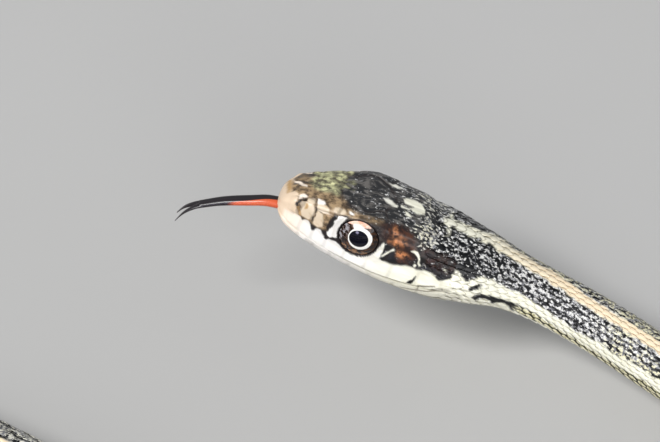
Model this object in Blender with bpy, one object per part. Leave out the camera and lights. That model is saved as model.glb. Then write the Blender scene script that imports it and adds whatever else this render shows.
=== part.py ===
"""A garter snake of the slender ribbon kind, life size, lying still with its head raised.

The model is worked out in millimetres along the body, from the snout (s = 0) to the tail tip,
and is written to the meshes in metres. Every section is read from two numbers: s, the distance
along the body, and v, the way round it, 0 on the back and 1 under the belly. A positive v is on
the snake's left, and a negative one on its right.
"""
import bmesh
import bpy
import math
import numpy as np
from mathutils import Matrix

MM = 0.001
COLLECTION = "garter_snake"

# Lengths along the body
TOTAL_LENGTH = 640.0
MOUTH_CORNER = 15.8
HEAD_END = 20.0
NECK_END = 62.0
VENT = 446.0
NODE_GAP = 0.3

# Belly plates, drawn wider than the real ones
BELLY_PLATE = 6.0
TAIL_PLATE = 4.85
PLATES_IN_BODY_LENGTH = 8
PLATES_IN_TAIL_LENGTH = 10
PLATE_STEP = 0.22
PLATE_EDGE = 0.62
PLATE_RAMP = 0.35
PLATE_REAR = 0.93

# The way that the body lies: heading on the floor, nose-up pitch and roll, in degrees,
# then (start, end, turn) for each bend, with start and end along the body
HEADING = -10.0
BENDS = ((12, 34, -25), (60, 135, -178), (196, 300, 168), (338, 430, -152), (462, 548, 84),
         (560, 632, -62))
PITCH = 18.0
PITCH_BENDS = ((14, 60, -18),)
ROLL = -9.0
ROLL_BENDS = ((15, 33, 16), (38, 60, -7))
BEND_RAMP = 0.25

# Half widths of the body, as (distance, half width)
HALF_WIDTH = ((0, 2.2), (26, 2.2), (38, 2.25), (50, 2.5), (90, 3.4), (150, 4.3), (240, 4.75),
              (330, 4.5), (410, 3.7), (446, 3.2), (470, 2.8), (530, 2.1), (590, 1.3),
              (625, 0.75), (640, 0.4))
BACK_HEIGHT = 0.93
BELLY_DEPTH = 0.86
BACK_POWER = 2.1
BELLY_POWER = 3.0

# Lines of the head, as (distance from the snout, value)
CROWN = ((0, 0.6), (1.2, 1.5), (2.5, 2.0), (5, 2.6), (7.6, 3.0), (10.5, 3.1), (13.5, 2.95),
         (17, 2.6), (21, 2.3), (26, 2.2))
CANTHUS_WIDTH = ((0, 1.2), (1.2, 1.75), (2.5, 2.15), (5, 2.95), (7.4, 3.4), (10.2, 3.0),
                 (13.5, 3.0), (17, 2.4), (21, 1.75), (26, 1.55))
CANTHUS_DROP = ((0, 0.2), (2.5, 0.35), (5, 0.4), (7.4, 0.3), (10.5, 0.5), (13.5, 0.75), (17, 0.8),
                (26, 0.75))
LIP_WIDTH = ((0, 1.35), (1.2, 2.0), (2.5, 2.5), (5, 3.15), (7.6, 3.6), (10.5, 4.0), (13.5, 4.25),
             (16, 4.1), (18.5, 3.45), (21, 2.7), (26, 2.25))
LIP_HEIGHT = ((0, -0.8), (2.5, -1.15), (5, -1.4), (8, -1.5), (11, -1.3), (14, -0.9), (16.5, -0.45),
              (21, -0.3), (26, -0.3))
JAW_WIDTH = ((0, 1.0), (1.2, 1.55), (2.5, 2.0), (5, 2.6), (8, 3.05), (11, 3.4), (14, 3.55),
             (16.5, 3.2), (20, 2.3), (26, 1.6))
CHIN = ((0, -1.5), (1.2, -2.1), (2.5, -2.4), (5, -2.75), (8, -2.9), (11, -2.95), (14, -2.85),
        (17, -2.55), (21, -2.2), (26, -2.0))
SNOUT_ROUND = 1.3
SNOUT_POWER = 2.6
SNOUT_MIDDLE = -0.35
HEAD_KEYS = (0.0, 0.22, 0.42, 0.6, 0.8, 1.0)
CHEEK_SHARE = (0.66, 0.5)
JAW_SHARE = 0.62
CROWN_FLATNESS = 1.15
CHIN_FLATNESS = 1.2
HEAD_BLEND = (17.0, 26.0)
LEAST_RADIUS = 0.3
MEAN_HEAD_RADIUS = 3.3

# Eyes, nostrils, mouth and tongue
EYE_PLACE = (6.95, 2.28, 0.4)
EYE_RADIUS = 1.7
NOSTRIL_PLACE = (1.65, 0.195)
NOSTRIL_RADIUS = 0.22
NOSTRIL_DEPTH = 0.45
TONGUE_ROUTE = ((1.2, -0.8), (-0.5, -0.95), (-2.2, -1.7), (-4.0, -2.6), (-5.7, -3.45))
TONGUE_HALF = (0.5, 0.48, 0.45, 0.4, 0.36)
TONGUE_FLATNESS = 0.62
TINE_ROUTE = ((-5.1, -3.1), (-5.9, -3.7), (-6.5, -4.5), (-6.75, -5.3))
TINE_SIDE = (0.16, 0.24, 0.42, 0.55)
TINE_HALF = (0.2, 0.2, 0.15, 0.07)

# Head plates on the left side, as corners (distance from the snout, way round); those whose
# names are in MIDDLE_PLATES cross the middle, and the others are mirrored to the right side
PLATE_RAISED = 0.13
PLATE_BEVEL = 0.06
PLATE_ROOT = 0.45
SUTURE = 0.05
PLATE_STRETCH = 2.0
STRETCH_SPARE = 0.4
PLATE_TOP = 0.68
FRONT_PLATE_TOP = 0.6
MIDDLE_PLATES = {
    "rostral": ((0.4, -0.57), (0.62, -0.42), (0.66, -0.25), (0.72, -0.1), (0.9, 0.0), (0.72, 0.1),
                (0.66, 0.25), (0.62, 0.42), (0.4, 0.57), (0.12, 0.62), (0.12, -0.62)),
    "frontal": ((4.4, 0.0), (4.75, 0.12), (8.0, 0.095), (8.9, 0.0), (8.0, -0.095), (4.75, -0.12)),
    "mental": ((0.8, 0.64), (0.95, 0.75), (1.3, 0.9), (1.4, 1.0), (1.3, -0.9), (0.95, -0.75),
               (0.8, -0.64), (0.3, -0.68), (0.3, 0.68)),
}
SIDE_PLATES = {
    "internasal": ((1.0, 0.0), (0.75, 0.15), (1.3, 0.17), (2.45, 0.15), (2.3, 0.0)),
    "prefrontal": ((2.4, 0.0), (2.55, 0.15), (2.8, 0.25), (4.5, 0.235), (4.75, 0.13), (4.4, 0.0)),
    "supraocular": ((4.85, 0.13), (4.65, 0.225), (5.9, 0.215), (7.9, 0.2), (8.7, 0.19), (8.1, 0.1)),
    "parietal": ((9.0, 0.0), (8.15, 0.1), (8.8, 0.2), (9.3, 0.27), (11.4, 0.26), (12.6, 0.13),
                 (12.2, 0.0)),
    "front nasal": ((0.8, 0.16), (0.7, 0.3), (0.8, 0.41), (1.55, 0.42), (1.35, 0.22), (1.3, 0.17)),
    "rear nasal": ((1.95, 0.16), (1.9, 0.25), (1.65, 0.42), (2.75, 0.44), (2.85, 0.3), (2.6, 0.17)),
    "loreal": ((2.85, 0.265), (2.9, 0.45), (4.15, 0.48), (4.25, 0.25)),
    "preocular": ((4.4, 0.25), (4.25, 0.48), (4.9, 0.49), (4.7, 0.36), (5.15, 0.235)),
    "upper postocular": ((8.35, 0.22), (8.75, 0.3), (9.3, 0.29), (8.9, 0.21)),
    "middle postocular": ((8.75, 0.31), (8.75, 0.4), (9.5, 0.385), (9.35, 0.3)),
    "lower postocular": ((8.7, 0.41), (8.35, 0.48), (9.4, 0.48), (9.5, 0.395)),
    "temporal": ((9.45, 0.285), (9.6, 0.38), (9.5, 0.48), (11.9, 0.45), (12.2, 0.36), (11.5, 0.275)),
}
UPPER_LIP_ENDS = (0.75, 2.15, 3.3, 4.5, 6.2, 8.05, 10.1, 12.3, 14.4)
UPPER_LIP_TOP = ((0, 0.43), (2.1, 0.44), (3.3, 0.47), (4.5, 0.5), (5.6, 0.53), (7.8, 0.53),
                 (8.6, 0.49), (12, 0.46), (14.4, 0.46))
LOWER_LIP_ENDS = (0.95, 2.3, 3.7, 5.2, 6.9, 8.7, 10.7, 12.7, 14.6)
LIP_EDGES = (0.575, 0.63)
LOWER_LIP_LOW = 0.745
CHIN_SHIELDS = ((1.5, 5.2), (5.35, 9.6))
CHIN_SHIELD_EDGES = (0.775, 0.975)

# How finely the solids are cut
STEPS_ALONG = 2561
HEAD_RINGS = (0.02, 0.12, 0.35, 0.7, 1.3, 2.1, 3.0, 4.0, 5.0, 6.2, 7.4, 8.6, 9.8, 11.0, 12.2, 13.4,
              14.6, 15.8, 17.0, 18.4, HEAD_END - NODE_GAP / 2)
HEAD_AROUND = (0, 0.07, 0.15, 0.22, 0.29, 0.36, 0.43, 0.5, 0.55, 0.6, 0.65, 0.72, 0.8, 0.9, 1)
BODY_AROUND = (0, 0.13, 0.26, 0.38, 0.5, 0.6, 0.64, 0.82, 1)
TAIL_AROUND = (0, 0.2, 0.4, 0.6, 0.64, 0.82, 1)
EYE_SEGMENTS = 18
EYE_RINGS = 10
TONGUE_SEGMENTS = 8
TONGUE_STEPS = 2
MOUTH_STEPS = 13
MOUTH_LEAD = 2.0
CUTTER_REACH = 8.0

# Colour and roughness of each kind of surface
FINISHES = {"back": ((0.035, 0.037, 0.04), 0.45), "lip": ((0.80, 0.76, 0.60), 0.45),
            "eye": ((0.03, 0.02, 0.015), 0.05), "tongue": ((0.55, 0.07, 0.03), 0.3)}


def read_line(points, x):
    """Smooth line through a few (distance, value) points, with no overshoot."""
    places = np.array([p[0] for p in points], float)
    values = np.array([p[1] for p in points], float)
    width = np.diff(places)
    slope = np.diff(values) / width
    tangent = np.zeros_like(values)
    product = slope[:-1] * slope[1:]
    total = slope[:-1] + slope[1:]
    inner = np.where(product > 0, 2 * product / np.where(product > 0, total, 1.0), 0.0)
    tangent[1:-1] = inner
    tangent[0] = slope[0]
    tangent[-1] = slope[-1]
    x = np.clip(x, places[0], places[-1])
    i = np.clip(np.searchsorted(places, x) - 1, 0, len(places) - 2)
    t = (x - places[i]) / width[i]
    return (values[i] * (1 + 2 * t) * (1 - t) ** 2 + width[i] * tangent[i] * t * (1 - t) ** 2
            + values[i + 1] * t * t * (3 - 2 * t) + width[i] * tangent[i + 1] * t * t * (t - 1))


def eased(t):
    """Share of a bend done at t: its curvature rises, holds and falls again."""
    t = np.clip(t, 0, 1)
    rise = t * t / (2 * BEND_RAMP)
    hold = t - BEND_RAMP / 2
    fall = 1 - BEND_RAMP - (1 - t) ** 2 / (2 * BEND_RAMP)
    parts = np.where(t < BEND_RAMP, rise, np.where(t < 1 - BEND_RAMP, hold, fall))
    return parts / (1 - BEND_RAMP)


def turned(start, bends):
    """Angle in radians at every step along the body, after the bends so far."""
    angle = np.full_like(STEPS, start)
    for first, last, turn in bends:
        angle = angle + turn * eased((STEPS - first) / (last - first))
    return np.radians(angle)


def summed(rate):
    """Running sum of a rate along the body."""
    pieces = np.diff(STEPS) * (rate[1:] + rate[:-1]) / 2
    return np.concatenate(([0.0], np.cumsum(pieces)))


STEPS = np.linspace(0, TOTAL_LENGTH, STEPS_ALONG)
HEADINGS = turned(HEADING, BENDS)
PITCHES = turned(PITCH, PITCH_BENDS)
ROLLS = turned(ROLL, ROLL_BENDS)
PATH_X = summed(np.cos(HEADINGS) * np.cos(PITCHES))
PATH_Y = summed(np.sin(HEADINGS) * np.cos(PITCHES))
PATH_Z = -summed(np.sin(PITCHES))
RISE = PATH_Z - PATH_Z[-1]


def half_width(s):
    return read_line(HALF_WIDTH, s)


def body_frame(s):
    """Centre of the section at s, and its tailward, upward and leftward directions."""
    heading = np.interp(s, STEPS, HEADINGS)
    pitch = np.interp(s, STEPS, PITCHES)
    roll = np.interp(s, STEPS, ROLLS)[..., None]
    tailward = np.stack([np.cos(heading) * np.cos(pitch), np.sin(heading) * np.cos(pitch),
                         -np.sin(pitch)], -1)
    up = np.stack([np.cos(heading) * np.sin(pitch), np.sin(heading) * np.sin(pitch),
                   np.cos(pitch)], -1)
    left = np.cross(tailward, up)
    upward = up * np.cos(roll) + left * np.sin(roll)
    leftward = left * np.cos(roll) - up * np.sin(roll)
    height = BELLY_DEPTH * half_width(np.maximum(s, NECK_END)) + np.interp(s, STEPS, RISE)
    centre = np.stack([np.interp(s, STEPS, PATH_X), np.interp(s, STEPS, PATH_Y), height], -1)
    return centre, tailward, upward, leftward


def head_section(x, v):
    """Half section of the head at x: sideways and upward, through six key lines."""
    crown = read_line(CROWN, x)
    canthus = read_line(CANTHUS_WIDTH, x)
    canthus_z = crown - read_line(CANTHUS_DROP, x)
    lip = read_line(LIP_WIDTH, x)
    lip_z = read_line(LIP_HEIGHT, x)
    jaw = read_line(JAW_WIDTH, x)
    chin = read_line(CHIN, x)
    none = np.zeros_like(x)
    keys = [np.stack([none, crown], -1),
            np.stack([canthus, canthus_z], -1),
            np.stack([canthus + (lip - canthus) * CHEEK_SHARE[0],
                      canthus_z + (lip_z - canthus_z) * CHEEK_SHARE[1]], -1),
            np.stack([lip, lip_z], -1),
            np.stack([jaw, lip_z + (chin - lip_z) * JAW_SHARE], -1),
            np.stack([none, chin], -1)]
    last = len(keys) - 1
    tangents = [np.stack([canthus * CROWN_FLATNESS / HEAD_KEYS[1], none], -1)]
    for i in range(1, last):
        tangents.append((keys[i + 1] - keys[i - 1]) / (HEAD_KEYS[i + 1] - HEAD_KEYS[i - 1]))
    below = HEAD_KEYS[last] - HEAD_KEYS[last - 1]
    tangents.append(np.stack([-jaw * CHIN_FLATNESS / below, none], -1))
    result = np.zeros(x.shape + (2,))
    for i in range(last):
        width = HEAD_KEYS[i + 1] - HEAD_KEYS[i]
        t = np.clip((v - HEAD_KEYS[i]) / width, 0, 1)[..., None]
        piece = (keys[i] * (1 + 2 * t) * (1 - t) ** 2 + tangents[i] * width * t * (1 - t) ** 2
                 + keys[i + 1] * t * t * (3 - 2 * t) + tangents[i + 1] * width * t * t * (t - 1))
        inside = (v >= HEAD_KEYS[i]) & (v <= HEAD_KEYS[i + 1])
        result[inside] = piece[inside]
    blunt = np.clip(1 - x / SNOUT_ROUND, 0, 1)
    shrink = (1 - blunt ** SNOUT_POWER) ** (1 / SNOUT_POWER)
    result = result * shrink[..., None]
    result[..., 1] += (1 - shrink) * SNOUT_MIDDLE
    return result


def body_section(s, v):
    """Half section of the body at s: round on the back and flattened under the belly."""
    across = np.sin(np.pi * v)
    above = np.cos(np.pi * v)
    power = np.where(above > 0, BACK_POWER, BELLY_POWER)
    reach = (np.abs(across) ** power + np.abs(above / BACK_HEIGHT) ** power) ** (-1 / power)
    upward = np.maximum(above * reach, -BELLY_DEPTH)
    return np.stack([across * reach, upward], -1) * half_width(s)[..., None]


def section(s, v):
    """Half section anywhere: the head's lines give way to the body's over the nape."""
    first, last = HEAD_BLEND
    t = np.clip((s - first) / (last - first), 0, 1)
    share = (t * t * (3 - 2 * t))[..., None]
    return head_section(np.minimum(s, last), v) * (1 - share) + body_section(s, v) * share


def surface(s, v, raised=0.0):
    """Points on the skin at s and v, or raised above it, in millimetres."""
    s, v, raised = np.broadcast_arrays(np.asarray(s, float), np.asarray(v, float),
                                       np.asarray(raised, float))
    flat = section(s, np.abs(v))
    size = np.linalg.norm(flat, axis=-1, keepdims=True)
    flat = flat * (1 + raised[..., None] / np.maximum(size, LEAST_RADIUS))
    centre, _, upward, leftward = body_frame(s)
    side = np.where(v < 0, -1.0, 1.0)[..., None]
    return centre + leftward * flat[..., :1] * side + upward * flat[..., 1:]


def head_point(x, side, upward):
    """Point given straight in the head's own directions, in millimetres."""
    centre, tailward, up, left = body_frame(np.array(0.0))
    return centre + tailward * x + left * side + up * upward


def outward(s, v):
    """Direction that points straight out of the skin at s and v."""
    step = 0.02
    along = surface(s + step, v) - surface(max(s - step, 0.0), v)
    around = surface(s, v + step) - surface(s, v - step)
    normal = np.cross(around, along)
    normal = normal / np.linalg.norm(normal)
    centre = body_frame(np.array(float(s)))[0]
    return normal if np.dot(normal, surface(s, v) - centre) > 0 else -normal


def around_values(half):
    """Values of v right round the body, from a list for one side that runs from 0 to 1."""
    return list(half) + [-v for v in reversed(half[1:-1])]


def material(name, kind):
    colour, roughness = FINISHES[kind]
    made = bpy.data.materials.new(name)
    made.use_nodes = True
    shader = made.node_tree.nodes["Principled BSDF"]
    shader.inputs["Base Color"].default_value = (*colour, 1.0)
    shader.inputs["Roughness"].default_value = roughness
    return made


def new_object(name, mesh, kind, group):
    """Object with a material of its own, in the given collection."""
    made = bpy.data.objects.new(name, mesh)
    group.objects.link(made)
    mesh.materials.clear()
    mesh.materials.append(material(name, kind))
    return made


def loft(name, rings, kind, group):
    """Closed body through rings of points, with a flat face at each end."""
    shape = bmesh.new()
    loops = [[shape.verts.new(point * MM) for point in ring] for ring in rings]
    count = len(loops[0])
    for front, back in zip(loops, loops[1:]):
        for i in range(count):
            j = (i + 1) % count
            shape.faces.new((front[i], back[i], back[j], front[j]))
    shape.faces.new(loops[0])
    shape.faces.new(list(reversed(loops[-1])))
    bmesh.ops.recalc_face_normals(shape, faces=shape.faces)
    bmesh.ops.triangulate(shape, faces=shape.faces)
    mesh = bpy.data.meshes.new(name)
    shape.to_mesh(mesh)
    shape.free()
    if signed_volume(mesh) < 0:
        mesh.flip_normals()
    return new_object(name, mesh, kind, group)


def signed_volume(mesh):
    total = 0.0
    for face in mesh.polygons:
        a, b, c = (mesh.vertices[i].co for i in face.vertices[:3])
        total += a.dot(b.cross(c)) / 6
    return total


def ring_at(s, half, sunk=0.0):
    """Ring of points at s. Belly points lie lower by less where the plates are sunk."""
    values = np.array(around_values(half))
    belly = np.abs(values) >= PLATE_EDGE
    return surface(s, values, np.where(belly, -sunk, 0.0))


def plate_rings(start, count, pitch, around):
    """Rings of a length with overlapping belly plates: each ramps down, runs flat and steps up."""
    rings = []
    for k in range(count):
        front = start + k * pitch
        rings.append((front, PLATE_STEP))
        rings.append((front + PLATE_RAMP * pitch, 0.0))
        rings.append((front + PLATE_REAR * pitch, 0.0))
    rings.append((start + count * pitch, PLATE_STEP))
    first = rings[0][0] + NODE_GAP / 2
    last = rings[-1][0] - NODE_GAP / 2
    rings[0] = (first, PLATE_STEP)
    rings[-1] = (last, PLATE_STEP)
    return [ring_at(s, around, sunk) for s, sunk in rings]


def make_lengths(group):
    """Neck, body and tail, each a few plates long."""
    neck_plates = round((NECK_END - HEAD_END) / BELLY_PLATE)
    loft("neck", plate_rings(HEAD_END, neck_plates, BELLY_PLATE, BODY_AROUND), "back", group)
    step = PLATES_IN_BODY_LENGTH * BELLY_PLATE
    for k in range(round((VENT - NECK_END) / step)):
        rings = plate_rings(NECK_END + k * step, PLATES_IN_BODY_LENGTH, BELLY_PLATE, BODY_AROUND)
        loft(f"body_{k + 1:02d}", rings, "back", group)
    step = PLATES_IN_TAIL_LENGTH * TAIL_PLATE
    for k in range(round((TOTAL_LENGTH - VENT) / step)):
        rings = plate_rings(VENT + k * step, PLATES_IN_TAIL_LENGTH, TAIL_PLATE, TAIL_AROUND)
        loft(f"tail_{k + 1:02d}", rings, "back", group)


def lip_plates():
    """Corners of the upper and lower lip plates of the left side, and of its chin shields."""
    plates = {}
    for k, (front, back) in enumerate(zip(UPPER_LIP_ENDS, UPPER_LIP_ENDS[1:])):
        tops = [float(read_line(UPPER_LIP_TOP, np.array(x))) for x in (front, back)]
        plates[f"upper lip {k}"] = ((front, tops[0]), (front, LIP_EDGES[0]), (back, LIP_EDGES[0]),
                                    (back, tops[1]))
    for k, (front, back) in enumerate(zip(LOWER_LIP_ENDS, LOWER_LIP_ENDS[1:])):
        plates[f"lower lip {k}"] = ((front, LIP_EDGES[1]), (front, LOWER_LIP_LOW),
                                    (back, LOWER_LIP_LOW), (back, LIP_EDGES[1]))
    high, low = CHIN_SHIELD_EDGES
    for k, (front, back) in enumerate(CHIN_SHIELDS):
        plates[f"chin {k}"] = ((front, high), (front, low), (back, low), (back, high))
    return plates


def rim(corners):
    """Points round a plate, no further apart than PLATE_STRETCH, drawn in by half a suture."""
    corners = np.array(corners, float)
    millimetres = np.array([1.0, math.pi * MEAN_HEAD_RADIUS])
    points = []
    for here, there in zip(corners, np.roll(corners, -1, axis=0)):
        length = np.linalg.norm((there - here) * millimetres)
        count = max(1, math.ceil(length / PLATE_STRETCH - STRETCH_SPARE))
        points += [here + (there - here) * k / count for k in range(count)]
    points = np.array(points)
    middle = points.mean(axis=0)
    out = (points - middle) * millimetres
    reach = np.linalg.norm(out, axis=1, keepdims=True)
    return middle, middle + out * (1 - SUTURE / reach) / millimetres


def plate(name, points, inner, group):
    """One raised plate on the head: its root sunk in, its rim bevelled and its top nearly flat."""
    heights = (-PLATE_ROOT, PLATE_RAISED - PLATE_BEVEL, PLATE_RAISED)
    rings = []
    for ring, height in zip((points, points, inner), heights):
        rings.append(np.array([surface(x, v) + outward(x, v) * height for x, v in ring]))
    return loft(name, rings, "back", group)


def head_plates(group):
    """All the plates of the head and the lower jaw, on both sides."""
    plates = []
    for name in ("rostral", "mental"):
        points = np.array(MIDDLE_PLATES[name])
        plates.append(plate(name, points, points * (FRONT_PLATE_TOP, 1.0), group))
    sets = {"frontal": MIDDLE_PLATES["frontal"]}
    for name, corners in {**SIDE_PLATES, **lip_plates()}.items():
        for side in (1, -1):
            sets[f"{name} {side}"] = [(x, v * side) for x, v in corners]
    for name, corners in sets.items():
        middle, points = rim(corners)
        inner = middle + (points - middle) * PLATE_TOP
        plates.append(plate(name, points, inner, group))
    return plates


def eye_centre(side):
    back, sideways, up = EYE_PLACE
    return head_point(back, sideways * side, up)


def ball(name, centre, radius, kind, group):
    shape = bmesh.new()
    bmesh.ops.create_uvsphere(shape, u_segments=EYE_SEGMENTS, v_segments=EYE_RINGS,
                              radius=radius * MM)
    bmesh.ops.translate(shape, verts=shape.verts, vec=tuple(centre * MM))
    bmesh.ops.triangulate(shape, faces=shape.faces)
    mesh = bpy.data.meshes.new(name)
    shape.to_mesh(mesh)
    shape.free()
    return new_object(name, mesh, kind, group)


def rod(name, start, end, radius, group):
    """Straight round cutter from one point to another."""
    axis = (end - start) / np.linalg.norm(end - start)
    side = np.cross(axis, (0.0, 0.0, 1.0))
    side = side / np.linalg.norm(side)
    other = np.cross(axis, side)
    angles = np.linspace(0, 2 * np.pi, TONGUE_SEGMENTS + 1)[:-1]
    circle = [side * math.cos(a) * radius + other * math.sin(a) * radius for a in angles]
    rings = [np.array([place + point for point in circle]) for place in (start, end)]
    return loft(name, rings, "back", group)


def lip_height(x):
    return float(read_line(LIP_HEIGHT, np.array(float(x))))


def mouth_sheet(group):
    """Thin curved cutter along the line of the mouth, from before the snout to its corners."""
    half = NODE_GAP / 2
    corners = ((-CUTTER_REACH, -half), (CUTTER_REACH, -half), (CUTTER_REACH, half),
               (-CUTTER_REACH, half))
    rings = []
    for x in np.linspace(-MOUTH_LEAD, MOUTH_CORNER, MOUTH_STEPS):
        rings.append(np.array([head_point(x, side, lip_height(x) + up) for side, up in corners]))
    return loft("mouth_sheet", rings, "lip", group)


def throat_sheet(group):
    """Thin upright cutter that ends the lower jaw behind the corners of the mouth."""
    half = NODE_GAP / 2
    corners = ((-half, -CUTTER_REACH), (half, -CUTTER_REACH), (half, CUTTER_REACH),
               (-half, CUTTER_REACH))
    rings = []
    for z in (lip_height(MOUTH_CORNER) + half, -CUTTER_REACH):
        rings.append(np.array([head_point(MOUTH_CORNER + back, side, z) for back, side in corners]))
    return loft("throat_sheet", rings, "lip", group)


def combine(target, pieces, operation):
    """Join the pieces to the target, or take them out of it, and leave one plain mesh."""
    group = bpy.data.collections.new(target.name + "_pieces")
    bpy.context.scene.collection.children.link(group)
    for piece in pieces:
        group.objects.link(piece)
    step = target.modifiers.new("combine", "BOOLEAN")
    step.operation = operation
    step.operand_type = "COLLECTION"
    step.collection = group
    step.solver = "MANIFOLD"
    bpy.context.view_layer.update()
    graph = bpy.context.evaluated_depsgraph_get()
    mesh = bpy.data.meshes.new_from_object(target.evaluated_get(graph))
    target.modifiers.remove(step)
    target.data = mesh
    for piece in pieces:
        bpy.data.objects.remove(piece)
    bpy.data.collections.remove(group)


def loose_parts(mesh):
    """Vertex sets of the separate closed surfaces of a mesh, largest first."""
    links = [[] for _ in mesh.vertices]
    for edge in mesh.edges:
        a, b = edge.vertices
        links[a].append(b)
        links[b].append(a)
    seen = set()
    parts = []
    for start in range(len(mesh.vertices)):
        if start in seen:
            continue
        part = {start}
        front = [start]
        while front:
            here = front.pop()
            for near in links[here]:
                if near not in part:
                    part.add(near)
                    front.append(near)
        seen |= part
        parts.append(part)
    return sorted(parts, key=len, reverse=True)


def keep_part(source, part, name):
    """New mesh with only the given vertices of a mesh."""
    shape = bmesh.new()
    shape.from_mesh(source)
    shape.verts.ensure_lookup_table()
    drop = [vertex for vertex in shape.verts if vertex.index not in part]
    bmesh.ops.delete(shape, geom=drop, context="VERTS")
    bmesh.ops.triangulate(shape, faces=shape.faces)
    mesh = bpy.data.meshes.new(name)
    shape.to_mesh(mesh)
    shape.free()
    return mesh


def make_head(group):
    """Head with its eye sockets, nostrils and parted mouth, and the lower jaw as its own piece."""
    whole = loft("head", [ring_at(s, HEAD_AROUND) for s in HEAD_RINGS], "back", group)
    cutters = [mouth_sheet(group), throat_sheet(group)]
    for side in (1, -1):
        centre = eye_centre(side)
        cutters.append(ball("socket", centre, EYE_RADIUS + NODE_GAP, "eye", group))
        s, v = NOSTRIL_PLACE
        hole = surface(s, v * side)
        axis = outward(s, v * side)
        cutters.append(rod("nostril", hole - axis * NOSTRIL_DEPTH, hole + axis, NOSTRIL_RADIUS, group))
    cutters.append(tongue_notch(group))
    combine(whole, head_plates(group), "UNION")
    combine(whole, cutters, "DIFFERENCE")
    source = whole.data
    high, low = loose_parts(source)[:2]
    new_object("lower_jaw", keep_part(source, low, "lower_jaw"), "lip", group)
    whole.data = keep_part(source, high, "head")
    whole.data.materials.append(bpy.data.materials["head"])
    for side, name in ((1, "eye_left"), (-1, "eye_right")):
        ball(name, eye_centre(side), EYE_RADIUS, "eye", group)


def ribbon(name, route, sides, halves, grown, group):
    """Flat tapering tube in the head's middle plane, or shifted sideways from it."""
    count = len(route)
    angles = np.linspace(0, 2 * np.pi, TONGUE_SEGMENTS + 1)[:-1]
    rings = []
    for t in np.linspace(0, count - 1, (count - 1) * TONGUE_STEPS + 1):
        x, z = (float(read_line([(k, point[i]) for k, point in enumerate(route)], t)) for i in (0, 1))
        side = float(read_line(list(enumerate(sides)), t))
        half = float(read_line(list(enumerate(halves)), t))
        wide = half + grown
        tall = half * TONGUE_FLATNESS + grown
        rings.append(np.array([head_point(x, side + wide * math.cos(a), z + tall * math.sin(a))
                               for a in angles]))
    return loft(name, rings, "tongue", group)


def tongue_notch(group):
    """Cutter that leaves room for the tongue in the front of the mouth."""
    route = ((TONGUE_ROUTE[0][0] + NODE_GAP, TONGUE_ROUTE[0][1]),) + TONGUE_ROUTE[1:]
    return ribbon("notch", route, (0.0,) * len(route), TONGUE_HALF, NODE_GAP, group)


def make_tongue(group):
    """Tongue with its two tines."""
    none = (0.0,) * len(TONGUE_ROUTE)
    tongue = ribbon("tongue", TONGUE_ROUTE, none, TONGUE_HALF, 0.0, group)
    tines = [ribbon("tine", TINE_ROUTE, [k * side for k in TINE_SIDE], TINE_HALF, 0.0, group)
             for side in (1, -1)]
    combine(tongue, tines, "UNION")


def centre_on_floor(group):
    """Put the middle of the whole model's outline over the origin, and its belly flats on the floor."""
    points = np.array([vertex.co[:] for thing in group.objects for vertex in thing.data.vertices])
    low = points.min(axis=0)
    high = points.max(axis=0)
    shift = Matrix.Translation((-(low[0] + high[0]) / 2, -(low[1] + high[1]) / 2, -low[2]))
    for thing in group.objects:
        thing.data.transform(shift)


def empty_scene():
    for thing in list(bpy.data.objects):
        bpy.data.objects.remove(thing, do_unlink=True)


def main():
    empty_scene()
    group = bpy.data.collections.new(COLLECTION)
    bpy.context.scene.collection.children.link(group)
    make_head(group)
    make_tongue(group)
    make_lengths(group)
    centre_on_floor(group)


main()
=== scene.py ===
"""Looks of the garter snake: one skin, a coat of overlapping scales, the head's plates and its eyes.

Places are worked out as in the solids, in millimetres: s is the distance along the body from the
snout, and v the way round it, 0 on the back and 1 under the belly. A positive v is on the snake's
left, and a negative one on its right. Every marking is a named shape or line in s and v, and skin
and scales read the same ones.
"""
import math
import bpy
import numpy as np
from mathutils import Matrix, Vector

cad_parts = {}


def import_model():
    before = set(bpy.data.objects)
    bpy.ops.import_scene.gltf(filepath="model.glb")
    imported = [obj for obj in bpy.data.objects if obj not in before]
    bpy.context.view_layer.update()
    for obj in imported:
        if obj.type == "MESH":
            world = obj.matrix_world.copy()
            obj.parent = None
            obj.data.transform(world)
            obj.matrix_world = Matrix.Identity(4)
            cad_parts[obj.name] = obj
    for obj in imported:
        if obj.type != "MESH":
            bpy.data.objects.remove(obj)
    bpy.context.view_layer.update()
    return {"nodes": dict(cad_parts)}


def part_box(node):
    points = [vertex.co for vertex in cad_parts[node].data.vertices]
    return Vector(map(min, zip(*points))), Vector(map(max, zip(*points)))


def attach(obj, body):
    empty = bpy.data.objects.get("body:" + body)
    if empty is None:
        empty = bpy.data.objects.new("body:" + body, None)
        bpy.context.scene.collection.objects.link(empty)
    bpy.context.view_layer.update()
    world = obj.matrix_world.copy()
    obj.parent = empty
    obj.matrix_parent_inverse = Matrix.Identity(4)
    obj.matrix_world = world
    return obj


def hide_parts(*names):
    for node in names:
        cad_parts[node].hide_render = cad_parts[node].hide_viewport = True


MM = 0.001
TINY = 0.001

# Lengths along the body
TOTAL_LENGTH = 640.0
MOUTH_CORNER = 15.8
NECK_END = 62.0
VENT = 446.0

# The way that the body lies: heading on the floor, nose-up pitch and roll, in degrees,
# then (start, end, turn) for each bend, with start and end along the body
HEADING = -10.0
BENDS = ((12, 34, -25), (60, 135, -178), (196, 300, 168), (338, 430, -152), (462, 548, 84),
         (560, 632, -62))
PITCH = 18.0
PITCH_BENDS = ((14, 60, -18),)
ROLL = -9.0
ROLL_BENDS = ((15, 33, 16), (38, 60, -7))
BEND_RAMP = 0.25
STEPS_ALONG = 2561

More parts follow.
